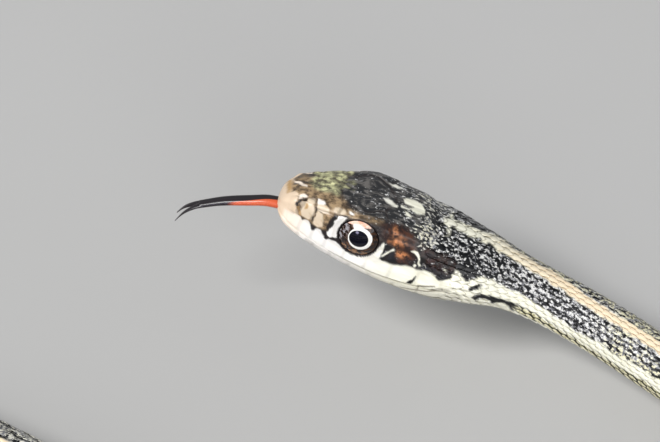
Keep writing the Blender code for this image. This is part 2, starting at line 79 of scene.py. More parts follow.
# Half widths of the body, as (distance, half width)
HALF_WIDTH = ((0, 2.2), (26, 2.2), (38, 2.25), (50, 2.5), (90, 3.4), (150, 4.3), (240, 4.75),
              (330, 4.5), (410, 3.7), (446, 3.2), (470, 2.8), (530, 2.1), (590, 1.3),
              (625, 0.75), (640, 0.4))
BACK_HEIGHT = 0.93
BELLY_DEPTH = 0.86
BACK_POWER = 2.1
BELLY_POWER = 3.0

# Lines of the head, as (distance from the snout, value)
CROWN = ((0, 0.6), (1.2, 1.5), (2.5, 2.0), (5, 2.6), (7.6, 3.0), (10.5, 3.1), (13.5, 2.95),
         (17, 2.6), (21, 2.3), (26, 2.2))
CANTHUS_WIDTH = ((0, 1.2), (1.2, 1.75), (2.5, 2.15), (5, 2.95), (7.4, 3.4), (10.2, 3.0),
                 (13.5, 3.0), (17, 2.4), (21, 1.75), (26, 1.55))
CANTHUS_DROP = ((0, 0.2), (2.5, 0.35), (5, 0.4), (7.4, 0.3), (10.5, 0.5), (13.5, 0.75), (17, 0.8),
                (26, 0.75))
LIP_WIDTH = ((0, 1.35), (1.2, 2.0), (2.5, 2.5), (5, 3.15), (7.6, 3.6), (10.5, 4.0), (13.5, 4.25),
             (16, 4.1), (18.5, 3.45), (21, 2.7), (26, 2.25))
LIP_HEIGHT = ((0, -0.8), (2.5, -1.15), (5, -1.4), (8, -1.5), (11, -1.3), (14, -0.9), (16.5, -0.45),
              (21, -0.3), (26, -0.3))
JAW_WIDTH = ((0, 1.0), (1.2, 1.55), (2.5, 2.0), (5, 2.6), (8, 3.05), (11, 3.4), (14, 3.55),
             (16.5, 3.2), (20, 2.3), (26, 1.6))
CHIN = ((0, -1.5), (1.2, -2.1), (2.5, -2.4), (5, -2.75), (8, -2.9), (11, -2.95), (14, -2.85),
        (17, -2.55), (21, -2.2), (26, -2.0))
SNOUT_ROUND = 1.3
SNOUT_POWER = 2.6
SNOUT_MIDDLE = -0.35
HEAD_KEYS = (0.0, 0.22, 0.42, 0.6, 0.8, 1.0)
CHEEK_SHARE = (0.66, 0.5)
JAW_SHARE = 0.62
CROWN_FLATNESS = 1.15
CHIN_FLATNESS = 1.2
HEAD_BLEND = (17.0, 26.0)
LEAST_RADIUS = 0.3
HEAD_ROUND = 10.4
SHAPE_MARGIN = (0.3, 0.03)
EYE_PLACE = (6.95, 2.28, 0.4)

# Plates of the head, as corners (distance from the snout, way round)
MIDDLE_PLATES = {
    "rostral": ((0.4, -0.57), (0.62, -0.42), (0.66, -0.25), (0.72, -0.1), (0.9, 0.0), (0.72, 0.1),
                (0.66, 0.25), (0.62, 0.42), (0.4, 0.57), (0.0, 0.57), (0.0, -0.57)),
    "frontal": ((4.4, 0.0), (4.75, 0.12), (8.0, 0.095), (8.9, 0.0), (8.0, -0.095), (4.75, -0.12)),
}
SIDE_PLATES = {
    "internasal": ((1.0, 0.0), (0.75, 0.15), (1.3, 0.17), (2.45, 0.15), (2.3, 0.0)),
    "prefrontal": ((2.4, 0.0), (2.55, 0.15), (2.8, 0.25), (4.5, 0.235), (4.75, 0.13), (4.4, 0.0)),
    "supraocular": ((4.85, 0.13), (4.65, 0.225), (5.9, 0.215), (7.9, 0.2), (8.7, 0.19), (8.1, 0.1)),
    "parietal": ((9.0, 0.0), (8.15, 0.1), (8.8, 0.2), (9.3, 0.27), (11.4, 0.26), (12.6, 0.13),
                 (12.2, 0.0)),
    "front nasal": ((0.8, 0.16), (0.7, 0.3), (0.8, 0.41), (1.55, 0.42), (1.35, 0.22), (1.3, 0.17)),
    "rear nasal": ((1.95, 0.16), (1.9, 0.25), (1.65, 0.42), (2.75, 0.44), (2.85, 0.3), (2.6, 0.17)),
    "loreal": ((2.85, 0.257), (2.9, 0.45), (4.15, 0.48), (4.25, 0.243)),
    "preocular": ((4.36, 0.243), (4.25, 0.48), (4.9, 0.49), (4.7, 0.36), (5.15, 0.23)),
    "upper postocular": ((8.35, 0.22), (8.75, 0.3), (9.3, 0.29), (8.9, 0.21)),
    "middle postocular": ((8.75, 0.31), (8.75, 0.4), (9.5, 0.385), (9.35, 0.3)),
    "lower postocular": ((8.7, 0.41), (8.35, 0.48), (9.4, 0.48), (9.5, 0.395)),
    "temporal": ((9.45, 0.285), (9.6, 0.38), (9.5, 0.48), (11.9, 0.45), (12.2, 0.36), (11.5, 0.275)),
}
UPPER_LIP_ENDS = (0.75, 2.15, 3.3, 4.5, 6.2, 8.05, 10.1, 12.3, 14.4)
UPPER_LIP_TOP = ((0, 0.43), (2.1, 0.44), (3.3, 0.47), (4.5, 0.5), (5.6, 0.53), (7.8, 0.53),
                 (8.6, 0.49), (12, 0.46), (14.4, 0.46))
LOWER_LIP_ENDS = (0.95, 2.3, 3.7, 5.2, 6.9, 8.7, 10.7, 12.7, 14.6)
LIP_SPLIT = ((0, 0.602), (2, 0.608), (5, 0.622), (9, 0.628), (11, 0.618), (12.6, 0.6), (14.5, 0.585))
LOWER_LIP_LOW = 0.745
CHIN_SHIELDS = ((1.5, 5.2), (5.35, 9.6))
CHIN_SHIELD_EDGES = (0.775, 0.985)
PLATE_LIFT = 0.065
LIP_LIFT = 0.03
PLATE_ROUNDING = 0.14

# Gaps between plates along the body and round it, the part of the head that they cover, and where
# their grooves and the bare skin end
PLATE_GAP = 0.03
LIP_GAP = 0.009
PLATES_SPAN = (0.6, 14.6)
PLATES_FADE = (-0.6, -0.2)
GROOVE_EDGE = (0.1, 0.9)
BARE_END = (-0.2, 0.6)

# Mouth, nostrils, sockets and eyes
MOUTH_DEPTH = 0.26
MOUTH_GAP = 0.06
MOUTH_SIDE = 0.3
MOUTH_FADE = (-1.5, 0.4)
MOUTH_DROP = ((0, 0.0), (2, 0.04), (5, 0.1), (9, 0.13), (11, 0.08), (12.6, 0.0), (16, 0.0))
NOTCH_MIDDLE = -0.95
NOTCH_RADII = (0.66, 0.42)
NOTCH_EDGE = (-0.2, 0.6)
NOTCH_DEPTH = 0.7
NOTCH_END = 1.4
NOSTRIL_PLACE = (1.75, 0.187)
NOSTRIL_RADIUS = 0.17
NOSTRIL_STRETCH = 0.85
NOSTRIL_EDGE = (0.6, 1.4)
NOSTRIL_DEPTH = 0.4
FOLD_DEPTH = 0.09
EYE_AT = (6.77, 0.391)
EYE_TILT = 8.0
EYE_RADIUS = 1.64
EYE_CURVE = 2.7
EYE_SINK = 0.22
EYE_BACK = 1.4
EYE_TURNS = 72
EYE_RINGS = 25
EYE_BACK_RINGS = 10
EYE_REACH = 2.0
PUPIL_CENTRE = (0.04, 0.2)
PUPIL_RADII = (0.79, 0.74)
RING_CENTRE = (0.15, 0.2)
RING_RADII = (0.98, 1.0)
GLINT = (-0.28, 0.74)
GLINT_DISTANCE = 500.0
GLINT_SIZE = 0.1
GLINT_POWER = 0.0045
GLINT_SPREAD = 20.0
GLINT_COLOUR = (0.75, 0.72, 1.0)
SOCKET_RIM = (1.72, 2.45)
SOCKET_LEVEL = (-0.22, 0.03)
SOCKET_PIT = 1.0
PIT_EDGE = (-0.12, 0.04)
BROW_LIFT = 0.06
BROW_AWAY = 0.1
BROW_WIDTH = 0.14
RIM_EDGE = (0.084, 0.144)

# Tongue, as (distance before or behind the snout, height) and half widths
TONGUE_ROUTE = ((1.2, -0.85), (-0.5, -1.12), (-2.2, -1.85), (-4.0, -2.75), (-5.7, -3.9))
TONGUE_HALF = (0.6, 0.58, 0.54, 0.48, 0.42)
TONGUE_FLATNESS = 0.74
TONGUE_ROLL = 46.0
TINE_ROUTE = ((-5.1, -3.5), (-5.9, -4.1), (-6.6, -4.95), (-6.95, -5.8))
TINE_SIDE = (0.16, 0.24, 0.42, 0.55)
TINE_HALF = (0.26, 0.25, 0.18, 0.08)
TONGUE_GROOVE = 0.22
TONGUE_GROOVE_WIDTH = 0.35
TONGUE_TURNS = 20
TONGUE_STEPS = 60

# The coat: rows of scales are numbered from the back down, with their pitch in v
ROW_PITCH = 0.07
BACK_ROWS = 2
BODY_ROWS = 9
GULAR_ROWS = (10, 14)
GULAR_END = 20.5
FIRST_PLACE = 9.5
SCALE_SHARE = ((10, 0.38), (30, 0.4), (60, 0.48), (110, 0.6), (640, 0.62))
TAIL_SHARE = 0.45
TAIL_LEAST = 0.8
TAIL_ZONES = ((VENT, 490, 8), (490, 545, 6), (545, 600, 5), (600, 639, 4))
TAIL_BLEND = (VENT - 10, VENT + 20)
TAIL_COVER = 0.72
UNDER_TAIL_EDGE = 0.69
UNDER_TAIL_END = 1.5
UNDER_TAIL_OVERLAP = 0.01
COAT_SHARE = 0.045
SCALE_OVERLAP = 1.5
SCALE_SPREAD = 1.16
FINE_ALONG = (0, 0.2, 0.42, 0.64, 0.82, 0.94, 1.0)
FINE_ACROSS = (-1, -0.6, -0.2, 0, 0.2, 0.6, 1)
COARSE_ALONG = (0, 0.3, 0.6, 0.85, 1.0)
COARSE_ACROSS = (-1, -0.5, 0, 0.5, 1)
WIDE_COLUMNS = 19
SCALE_OUTLINE = ((0, 0.25, 0.6, 0.85, 1), (0.7, 0.92, 1.0, 0.9, 0.72))
TIP_ROUNDING = 0.34
TIP_POWER = 1.8
WIDE_ROUNDING = 0.35
KEEL_HEIGHT = 0.2
KEEL_WIDTH = 0.16
KEEL_LINE = ((0, 0.3, 0.9, 1), (0, 1, 1, 0.3))
ROOT_DEPTH = 1.15
SCALE_RISE = 1.2
RISE_LINE = ((0, 0.5, 0.9, 1), (0, 0.72, 1.0, 0.88))
SIDE_DROP = 0.15
SIDE_POWER = 2.5
BELLY_EDGE = 0.655
FINE_UNTIL = 120.0
FIRST_SCALE = ((0, 12.0), (0.07, 12.35), (0.14, 12.4), (0.21, 11.75), (0.28, 11.35), (0.35, 12.1),
               (0.42, 11.9), (0.49, 14.3), (0.56, 14.3), (0.63, 14.9), (0.7, 14.5), (0.77, 9.7),
               (0.98, 9.7))
VENTRALS_START = 19.0

# How finely the skin is cut
HEAD_END = 21.0
HEAD_STEP = 0.085
HEAD_COUNT = 232
NOSE_RINGS = 26
NOSE_FIRST = 0.03
NOSE_POWER = 2.2
BODY_STEP = 1.9
TAIL_ENDS = (0.6, 0.2)
WAYS_TRIED = 2001
DENSER_WAYS = ((0.602, 0.022, 2.2), (0.36, 0.2, 0.5))
SEED = 7

# The OFBake map, in shares of its width and height: lengths of the body lie above each other in it,
# and the front and the back of an eye are given as (middle, radius)
SKIN_MAP_LENGTHS = 4
SKIN_MAP_POWER = 0.85
MAP_HALF = 0.49
MAP_EDGE = 0.005
ROW_EDGE = 0.03
EYE_MAP_FRONT = (0.44, 0.43)
EYE_MAP_BACK = (0.94, 0.05)
SCALE_MAP_LENGTHS = 8
PATCH_SHARE = 0.86
PATCH_GAP = 0.6
BAND_EDGE_SHARE = 0.02
UNDERSIDE_PLACE = 1.07
UNDERSIDE_RADIUS = 0.0004
# Ways round that the maps of the scales under the belly and on the flanks cover
BELLY_MAP = (0.65, 1.35)
FLANK_MAP_END = 0.75

# Size of the photograph and the place of the snout in it, in pixels, and the camera
PHOTO = (660, 442)
SNOUT_PIXEL = (279, 197)
PIXELS_PER_MM = 12.5
ELEVATION = 46.0
CAMERA_DISTANCE = 0.52
SENSOR = 36.0
NEAREST_VIEW = 0.01
SNOUT_PLACE = (0.01, 0.3)

# Floor in millimetres, lights as (name, place, size, power) in metres and watts, and the world
FLOOR_HALF = 4000.0
FLOOR_DROP = 0.03
LIGHTS = (("key", (-0.7, -0.45, 1.3), 0.6, 24.0), ("fill", (0.5, -1.3, 0.75), 1.1, 10.0))
WORLD_COLOUR = (0.9, 0.94, 1.0, 1.0)
WORLD_POWER = 0.33


def between(t, start, end, leaving, arriving):
    """Point at t, from 0 to 1, on the curve that leaves start and arrives at end as given."""
    return (start * (1 + 2 * t) * (1 - t) ** 2 + leaving * t * (1 - t) ** 2
            + end * t * t * (3 - 2 * t) + arriving * t * t * (t - 1))


def read_line(points, x):
    """Smooth line through a few (distance, value) points, with no overshoot."""
    places, values = np.array(points, float).T
    width = np.diff(places)
    slope = np.diff(values) / width
    product = slope[:-1] * slope[1:]
    total = np.where(product > 0, slope[:-1] + slope[1:], 1.0)
    inner = np.where(product > 0, 2 * product / total, 0.0)
    tangent = np.concatenate([slope[:1], inner, slope[-1:]])
    x = np.clip(x, places[0], places[-1])
    i = np.clip(np.searchsorted(places, x) - 1, 0, len(places) - 2)
    t = (x - places[i]) / width[i]
    return between(t, values[i], values[i + 1], width[i] * tangent[i], width[i] * tangent[i + 1])


def eased(t):
    """Share of a bend done at t: its curvature rises, holds and falls again."""
    t = np.clip(t, 0, 1)
    rise = t * t / (2 * BEND_RAMP)
    hold = t - BEND_RAMP / 2
    fall = 1 - BEND_RAMP - (1 - t) ** 2 / (2 * BEND_RAMP)
    parts = np.where(t < BEND_RAMP, rise, np.where(t < 1 - BEND_RAMP, hold, fall))
    return parts / (1 - BEND_RAMP)


def turned(start, bends):
    """Angle in radians at every step along the body, after the bends so far."""
    angle = np.full_like(STEPS, start)
    for first, last, turn in bends:
        angle = angle + turn * eased((STEPS - first) / (last - first))
    return np.radians(angle)


def summed(rate):
    """Running sum of a rate along the body."""
    pieces = np.diff(STEPS) * (rate[1:] + rate[:-1]) / 2
    return np.concatenate(([0.0], np.cumsum(pieces)))


STEPS = np.linspace(0, TOTAL_LENGTH, STEPS_ALONG)
HEADINGS = turned(HEADING, BENDS)
PITCHES = turned(PITCH, PITCH_BENDS)
ROLLS = turned(ROLL, ROLL_BENDS)
PATH_X = summed(np.cos(HEADINGS) * np.cos(PITCHES))
PATH_Y = summed(np.sin(HEADINGS) * np.cos(PITCHES))
PATH_Z = -summed(np.sin(PITCHES))
RISE = PATH_Z - PATH_Z[-1]


def half_width(s):
    return read_line(HALF_WIDTH, s)


def body_frame(s):
    """Centre of the section at s, and its tailward, upward and leftward directions."""
    heading = np.interp(s, STEPS, HEADINGS)
    pitch = np.interp(s, STEPS, PITCHES)
    roll = np.interp(s, STEPS, ROLLS)[..., None]
    tailward = np.stack([np.cos(heading) * np.cos(pitch), np.sin(heading) * np.cos(pitch),
                         -np.sin(pitch)], -1)
    up = np.stack([np.cos(heading) * np.sin(pitch), np.sin(heading) * np.sin(pitch),
                   np.cos(pitch)], -1)
    left = np.cross(tailward, up)
    upward = up * np.cos(roll) + left * np.sin(roll)
    leftward = left * np.cos(roll) - up * np.sin(roll)
    height = BELLY_DEPTH * half_width(np.maximum(s, NECK_END)) + np.interp(s, STEPS, RISE)
    centre = np.stack([np.interp(s, STEPS, PATH_X), np.interp(s, STEPS, PATH_Y), height], -1)
    return centre, tailward, upward, leftward


def head_section(x, v):
    """Half section of the head at x: sideways and upward, through six key lines."""
    crown = read_line(CROWN, x)
    canthus = read_line(CANTHUS_WIDTH, x)
    canthus_z = crown - read_line(CANTHUS_DROP, x)
    lip = read_line(LIP_WIDTH, x)
    lip_z = read_line(LIP_HEIGHT, x)
    jaw = read_line(JAW_WIDTH, x)
    chin = read_line(CHIN, x)
    none = np.zeros_like(x)
    cheek = canthus + (lip - canthus) * CHEEK_SHARE[0]
    cheek_z = canthus_z + (lip_z - canthus_z) * CHEEK_SHARE[1]
    jaw_z = lip_z + (chin - lip_z) * JAW_SHARE
    keys = [np.stack(key, -1) for key in ((none, crown), (canthus, canthus_z), (cheek, cheek_z),
                                          (lip, lip_z), (jaw, jaw_z), (none, chin))]
    last = len(keys) - 1
    tangents = [np.stack([canthus * CROWN_FLATNESS / HEAD_KEYS[1], none], -1)]
    for i in range(1, last):
        tangents.append((keys[i + 1] - keys[i - 1]) / (HEAD_KEYS[i + 1] - HEAD_KEYS[i - 1]))
    below = HEAD_KEYS[last] - HEAD_KEYS[last - 1]
    tangents.append(np.stack([-jaw * CHIN_FLATNESS / below, none], -1))
    result = np.zeros(x.shape + (2,))
    for i in range(last):
        width = HEAD_KEYS[i + 1] - HEAD_KEYS[i]
        t = np.clip((v - HEAD_KEYS[i]) / width, 0, 1)[..., None]
        piece = between(t, keys[i], keys[i + 1], tangents[i] * width, tangents[i + 1] * width)
        inside = (v >= HEAD_KEYS[i]) & (v <= HEAD_KEYS[i + 1])
        result[inside] = piece[inside]
    blunt = np.clip(1 - x / SNOUT_ROUND, 0, 1)
    shrink = (1 - blunt ** SNOUT_POWER) ** (1 / SNOUT_POWER)
    result = result * shrink[..., None]
    result[..., 1] += (1 - shrink) * SNOUT_MIDDLE
    return result


def body_section(s, v):
    """Half section of the body at s: round on the back and flattened under the belly."""
    across = np.sin(np.pi * v)
    above = np.cos(np.pi * v)
    power = np.where(above > 0, BACK_POWER, BELLY_POWER)
    reach = (np.abs(across) ** power + np.abs(above / BACK_HEIGHT) ** power) ** (-1 / power)
    upward = np.maximum(above * reach, -BELLY_DEPTH)
    return np.stack([across * reach, upward], -1) * half_width(s)[..., None]


def section(s, v):
    """Half section anywhere: the head's lines give way to the body's over the nape."""
    share = after(s, HEAD_BLEND)[..., None]
    return head_section(np.minimum(s, HEAD_BLEND[1]), v) * (1 - share) + body_section(s, v) * share


def surface(s, v, raised=0.0):
    """Points on the skin at s and v, or raised above it, in millimetres."""
    s, v, raised = np.broadcast_arrays(np.asarray(s, float), np.asarray(v, float),
                                       np.asarray(raised, float))
    flat = section(s, np.abs(v))
    size = np.linalg.norm(flat, axis=-1, keepdims=True)
    flat = flat * (1 + raised[..., None] / np.maximum(size, LEAST_RADIUS))
    centre, _, upward, leftward = body_frame(s)
    side = np.where(v < 0, -1.0, 1.0)[..., None]
    return centre + leftward * flat[..., :1] * side + upward * flat[..., 1:]


def head_point(x, side, upward):
    """Point given straight in the head's own directions, in millimetres."""
    centre, tailward, up, left = body_frame(np.array(0.0))
    return centre + tailward * x + left * side + up * upward


def unit(vector):
    return vector / np.linalg.norm(vector, axis=-1, keepdims=True)


def outward(s, v, step=0.02):
    """Direction that points straight out of the skin at s and v."""
    along = surface(s + step, v) - surface(s - step, v)
    around = surface(s, v + step) - surface(s, v - step)
    return unit(np.cross(around, along))


def smooth(value, low, high):
    """0 below low, 1 above high, and an eased step between them."""
    t = np.clip((value - low) / (high - low), 0, 1)
    return t * t * (3 - 2 * t)


def after(value, span):
    """0 before a span, 1 past it, and an eased rise over it."""
    return smooth(value, *span)


def before(value, span):
    """1 before a span, 0 past it, and an eased fall over it."""
    return 1 - smooth(value, *span)


def grain(x, y, size, seed):
    """Soft random pattern between -1 and 1, with spots about as wide as size."""
    table = np.random.default_rng(seed).uniform(-1, 1, (256, 256))
    x = np.asarray(x) / size
    y = np.asarray(y) / size
    i = np.floor(x).astype(int)
    j = np.floor(y).astype(int)
    f = smooth(x - i, 0, 1)
    g = smooth(y - j, 0, 1)
    i, j = i % 255, j % 255
    low = table[i, j] * (1 - f) + table[i + 1, j] * f
    high = table[i, j + 1] * (1 - f) + table[i + 1, j + 1] * f
    return low * (1 - g) + high * g


def depth_in(corners, s, v):
    """Distance in millimetres to the outline of a shape, more than 0 inside it."""
    corners = np.array(corners, float) * (1.0, HEAD_ROUND)
    points = np.stack([s, v * HEAD_ROUND], -1)
    nearest = np.full(s.shape, np.inf)
    inside = np.zeros(s.shape, bool)
    for here, there in zip(corners, np.roll(corners, -1, axis=0)):
        edge = there - here
        offset = points - here
        t = np.clip((offset @ edge) / (edge @ edge), 0, 1)
        nearest = np.minimum(nearest, np.linalg.norm(offset - t[..., None] * edge, axis=-1))
        crosses = (here[1] > points[..., 1]) != (there[1] > points[..., 1])
        rise = edge[1] if edge[1] != 0 else 1.0
        inside ^= crosses & (points[..., 0] < here[0] + edge[0] * (points[..., 1] - here[1]) / rise)
    return np.where(inside, nearest, -nearest)


def near_shape(corners, s, v, margin):
    """Which points lie in a box round a shape."""
    low = np.min(corners, axis=0) - margin
    high = np.max(corners, axis=0) + margin
    return (s >= low[0]) & (s <= high[0]) & (v >= low[1]) & (v <= high[1])


def shape_mask(corners, s, v, soft):
    """1 inside a shape and 0 outside it, worked out only for points near it."""
    near = near_shape(corners, s, v, SHAPE_MARGIN)
    mask = np.zeros(s.shape)
    mask[near] = smooth(depth_in(corners, s[near], v[near]), -soft, soft)
    return mask


# Markings as corners (distance from the snout, way round), with a few painted highlights among the pale
# shapes and the spots. Those of the spots on the crown and of the tan on the rostral plate tell left
# from right, and all others are the same on both sides.
PALE_SHAPES = {
    "bar before the eye": ((4.62, 0.235), (5.4, 0.224), (5.2, 0.265), (5.09, 0.33), (5.07, 0.4),
        (5.2, 0.455), (5.05, 0.47), (4.65, 0.478), (4.42, 0.465), (4.3, 0.445), (4.43, 0.41),
        (4.52, 0.35), (4.55, 0.3)),
    "point behind the eye": ((8.0, 0.5), (8.15, 0.47), (8.4, 0.445), (8.5, 0.41), (8.65, 0.385),
        (8.72, 0.35), (8.82, 0.345), (8.95, 0.37), (8.99, 0.42), (8.92, 0.46), (8.95, 0.51),
        (8.0, 0.51)),
    # Painted highlight: a thin line of light across the black wedge behind the eye
    "painted highlight behind the eye": ((8.98, 0.452), (9.2, 0.425), (9.45, 0.395), (9.6, 0.37), (9.8, 0.36),
        (9.83, 0.378), (9.6, 0.4), (9.4, 0.43), (9.15, 0.45)),
    "curl on the temple": ((11.05, 0.335), (11.3, 0.313), (11.6, 0.315), (11.85, 0.335), (11.97, 0.365),
        (12.02, 0.395), (12.2, 0.415), (12.1, 0.425), (11.93, 0.405), (11.85, 0.375), (11.7, 0.35),
        (11.4, 0.335)),
    "dot under the curl": ((11.66, 0.43), (11.74, 0.41), (11.86, 0.42), (11.8, 0.446)),
    "spike behind the head": ((14.95, 0.45), (15.05, 0.36), (15.15, 0.335), (15.35, 0.333), (15.5, 0.36),
        (15.7, 0.4), (16.15, 0.42), (16.2, 0.45)),
    "neck point": ((14.05, 0.365), (14.15, 0.355), (14.35, 0.375), (14.25, 0.39)),
    # Painted highlight above the nostril
    "painted highlight above the nostril": ((1.27, 0.16), (1.3, 0.2), (1.45, 0.2), (1.6, 0.168), (1.9, 0.16),
        (1.98, 0.147), (1.6, 0.13), (1.4, 0.14)),
    "hook by the stripe": ((13.3, 0.0), (13.55, 0.03), (13.72, 0.1), (13.62, 0.112), (13.4, 0.06)),
    "patch on the snout": ((2.72, 0.15), (2.8, 0.2), (3.0, 0.215), (3.3, 0.2), (3.5, 0.17), (3.3, 0.15)),
    # Painted highlight on the edge of the brow
    "painted highlight on the brow edge": ((5.35, 0.163), (5.4, 0.182), (5.6, 0.192), (5.85, 0.184), (5.6, 0.166)),
}
SPOT_SHAPES = {
    "spot on the crown": ((9.35, -0.03), (9.6, -0.05), (10.3, -0.055), (10.9, -0.045), (11.25, -0.01),
        (11.3, 0.02), (11.0, 0.04), (10.6, 0.045), (10.2, 0.035), (9.95, 0.02), (10.2, 0.008),
        (10.3, 0.0), (9.9, -0.002), (9.5, -0.01)),
    "lobe of the spot": ((9.25, 0.015), (9.5, 0.02), (10.0, 0.03), (9.9, 0.04), (9.3, 0.035)),
    "streak under the spot": ((9.6, 0.055), (9.9, 0.06), (10.25, 0.08), (10.2, 0.09), (9.8, 0.085)),
    "streak on the crown": ((7.7, 0.005), (8.2, 0.0), (8.7, 0.015), (9.05, 0.03), (9.0, 0.048),
        (8.5, 0.042), (8.0, 0.03)),
    "far streak": ((7.9, -0.11), (8.6, -0.125), (9.1, -0.11), (8.6, -0.098)),
    # Painted highlight along the border between the rostral and internasal plates
    "painted highlight on the snout": ((0.55, -0.18), (0.74, -0.075), (1.15, -0.035), (1.4, -0.01), (1.72, 0.018),
        (1.7, 0.043), (1.3, 0.03), (1.05, -0.01), (0.8, -0.04), (0.6, -0.14)),
}
ROSTRAL_TAN = ((0.3, -0.2), (0.36, -0.05), (0.42, 0.06), (0.5, 0.13), (0.62, 0.1), (0.68, 0.03),
               (0.64, -0.06), (0.5, -0.2))
TAN_SHAPES = {
    "under the nostril": ((1.42, 0.31), (1.55, 0.3), (1.72, 0.34), (2.0, 0.4), (1.93, 0.425),
        (1.6, 0.37)),
    "spot on the nasal": ((1.95, 0.235), (2.2, 0.23), (2.25, 0.29), (2.05, 0.31)),
}
BEIGE_SHAPES = {
    "front nasal": ((0.4, 0.12), (0.4, 0.46), (1.3, 0.43), (1.75, 0.43), (1.5, 0.34), (1.28, 0.3),
        (1.25, 0.24), (1.35, 0.2), (1.2, 0.13), (0.9, 0.1)),
    "top of the rear nasal": ((1.95, 0.2), (2.05, 0.165), (2.55, 0.15), (2.65, 0.2), (2.5, 0.23),
        (2.2, 0.215)),
    "rear nasal": ((1.55, 0.225), (1.6, 0.26), (1.75, 0.33), (1.95, 0.4), (2.1, 0.41), (2.55, 0.415),
        (2.83, 0.4), (2.88, 0.34), (2.82, 0.27), (2.62, 0.225), (2.2, 0.215), (1.85, 0.212)),
    "loreal": ((3.0, 0.27), (3.0, 0.33), (2.99, 0.4), (3.1, 0.435), (3.5, 0.44), (3.85, 0.42),
        (3.75, 0.36), (3.5, 0.285)),
    "under the patch": ((2.85, 0.205), (3.0, 0.26), (3.5, 0.27), (3.9, 0.255), (3.8, 0.21),
        (3.5, 0.185)),
    "brow corner": ((4.1, 0.2), (4.2, 0.175), (4.6, 0.16), (5.0, 0.165), (5.2, 0.19), (5.0, 0.212),
        (4.6, 0.22), (4.25, 0.22)),
}
SNOUT_BROWN = ((0.5, -0.02), (0.5, 0.43), (1.9, 0.43), (3.6, 0.44), (4.25, 0.43), (4.35, 0.3),
               (5.3, 0.225), (6.5, 0.205), (8.2, 0.2), (8.1, 0.175), (6.5, 0.16), (5.2, 0.14),
               (4.6, 0.07), (3.0, 0.05), (2.2, -0.02))
BLACK_SHAPES = {
    "front of the bar": ((4.15, 0.3), (4.3, 0.26), (4.5, 0.235), (5.2, 0.208), (5.5, 0.21),
        (5.45, 0.222), (4.65, 0.231), (4.53, 0.3), (4.5, 0.35), (4.41, 0.42), (4.27, 0.44), (4.15, 0.4)),
    "under the bar": ((4.3, 0.47), (4.45, 0.468), (4.65, 0.481), (5.1, 0.473), (5.35, 0.455),
        (5.6, 0.48), (6.1, 0.505), (6.5, 0.52), (6.4, 0.532), (5.9, 0.516), (5.3, 0.49), (4.7, 0.491),
        (4.5, 0.512), (4.3, 0.5)),
    "nostril": ((1.6, 0.207), (1.65, 0.176), (1.85, 0.166), (1.95, 0.18), (1.85, 0.207)),
    "nostril line": ((1.32, 0.23), (1.27, 0.28), (1.35, 0.31), (1.47, 0.3), (1.5, 0.25), (1.63, 0.215),
        (1.6, 0.198), (1.45, 0.205)),
    "line behind the nose": ((2.62, 0.13), (2.66, 0.13), (2.95, 0.26), (3.0, 0.33), (2.96, 0.42),
        (2.88, 0.42), (2.92, 0.33), (2.87, 0.26)),
    "behind the point": ((9.02, 0.43), (8.99, 0.37), (9.05, 0.345), (9.4, 0.35), (9.55, 0.36),
        (9.25, 0.4)),
    "under the line": ((8.9, 0.465), (9.2, 0.452), (9.45, 0.43), (9.62, 0.402), (9.85, 0.38),
        (9.9, 0.42), (10.4, 0.46), (9.8, 0.475), (9.2, 0.48)),
    "wedge on the lip": ((11.7, 0.585), (11.8, 0.555), (11.98, 0.54), (12.15, 0.5), (12.2, 0.5),
        (12.12, 0.55), (12.05, 0.58)),
    "mark on the neck": ((16.78, 0.507), (16.82, 0.475), (17.05, 0.445), (17.35, 0.415), (17.55, 0.39),
        (17.66, 0.4), (17.6, 0.44), (17.42, 0.47), (17.15, 0.492), (17.0, 0.508)),
    "neck line": ((17.25, 0.6), (17.35, 0.56), (17.6, 0.53), (18.1, 0.52), (18.6, 0.527), (18.9, 0.518),
        (19.4, 0.532), (20.2, 0.532), (21.3, 0.532), (21.4, 0.56), (20.7, 0.6), (20.1, 0.58),
        (19.5, 0.59), (19.3, 0.64), (19.05, 0.625), (18.85, 0.59), (18.5, 0.577), (18.0, 0.57),
        (17.8, 0.59), (17.72, 0.635), (17.45, 0.62)),
    "hook": ((20.35, 0.57), (20.95, 0.58), (21.05, 0.62), (21.25, 0.65), (20.95, 0.68), (20.65, 0.63)),
}
# Brown areas of the temple and of the side of the neck, as (corners, strength)
BROWN_AREAS = (
    (((7.9, 0.19), (8.4, 0.27), (8.55, 0.345), (8.95, 0.34), (9.6, 0.35), (9.9, 0.38), (10.2, 0.46),
      (11.3, 0.45), (11.5, 0.36), (11.3, 0.26), (10.8, 0.2), (9.6, 0.17)), 1.0),
    (((11.2, 0.25), (11.9, 0.31), (12.2, 0.36), (13.4, 0.42), (14.6, 0.42), (15.0, 0.35), (14.8, 0.25),
      (13.4, 0.24)), 0.4),
)
# Lighter orange marks of the temple, partly its own colour and partly painted highlight, as (corners,
# strength)
RUST_MARKS_AND_HIGHLIGHTS = (
    (((9.1, 0.2), (9.3, 0.195), (9.6, 0.25), (9.85, 0.31), (9.85, 0.34), (9.5, 0.34), (9.35, 0.3)), 1.0),
    (((9.6, 0.27), (9.9, 0.25), (10.3, 0.26), (10.55, 0.29), (10.3, 0.32), (9.9, 0.33)), 0.6),
    (((8.9, 0.29), (9.4, 0.3), (9.5, 0.335), (9.0, 0.33)), 0.35),
    (((9.9, 0.38), (10.2, 0.365), (10.7, 0.36), (11.0, 0.37), (10.7, 0.4), (10.4, 0.42),
      (10.1, 0.41)), 0.95),
    (((10.3, 0.38), (10.55, 0.385), (10.5, 0.415), (10.3, 0.41)), 0.9),
)
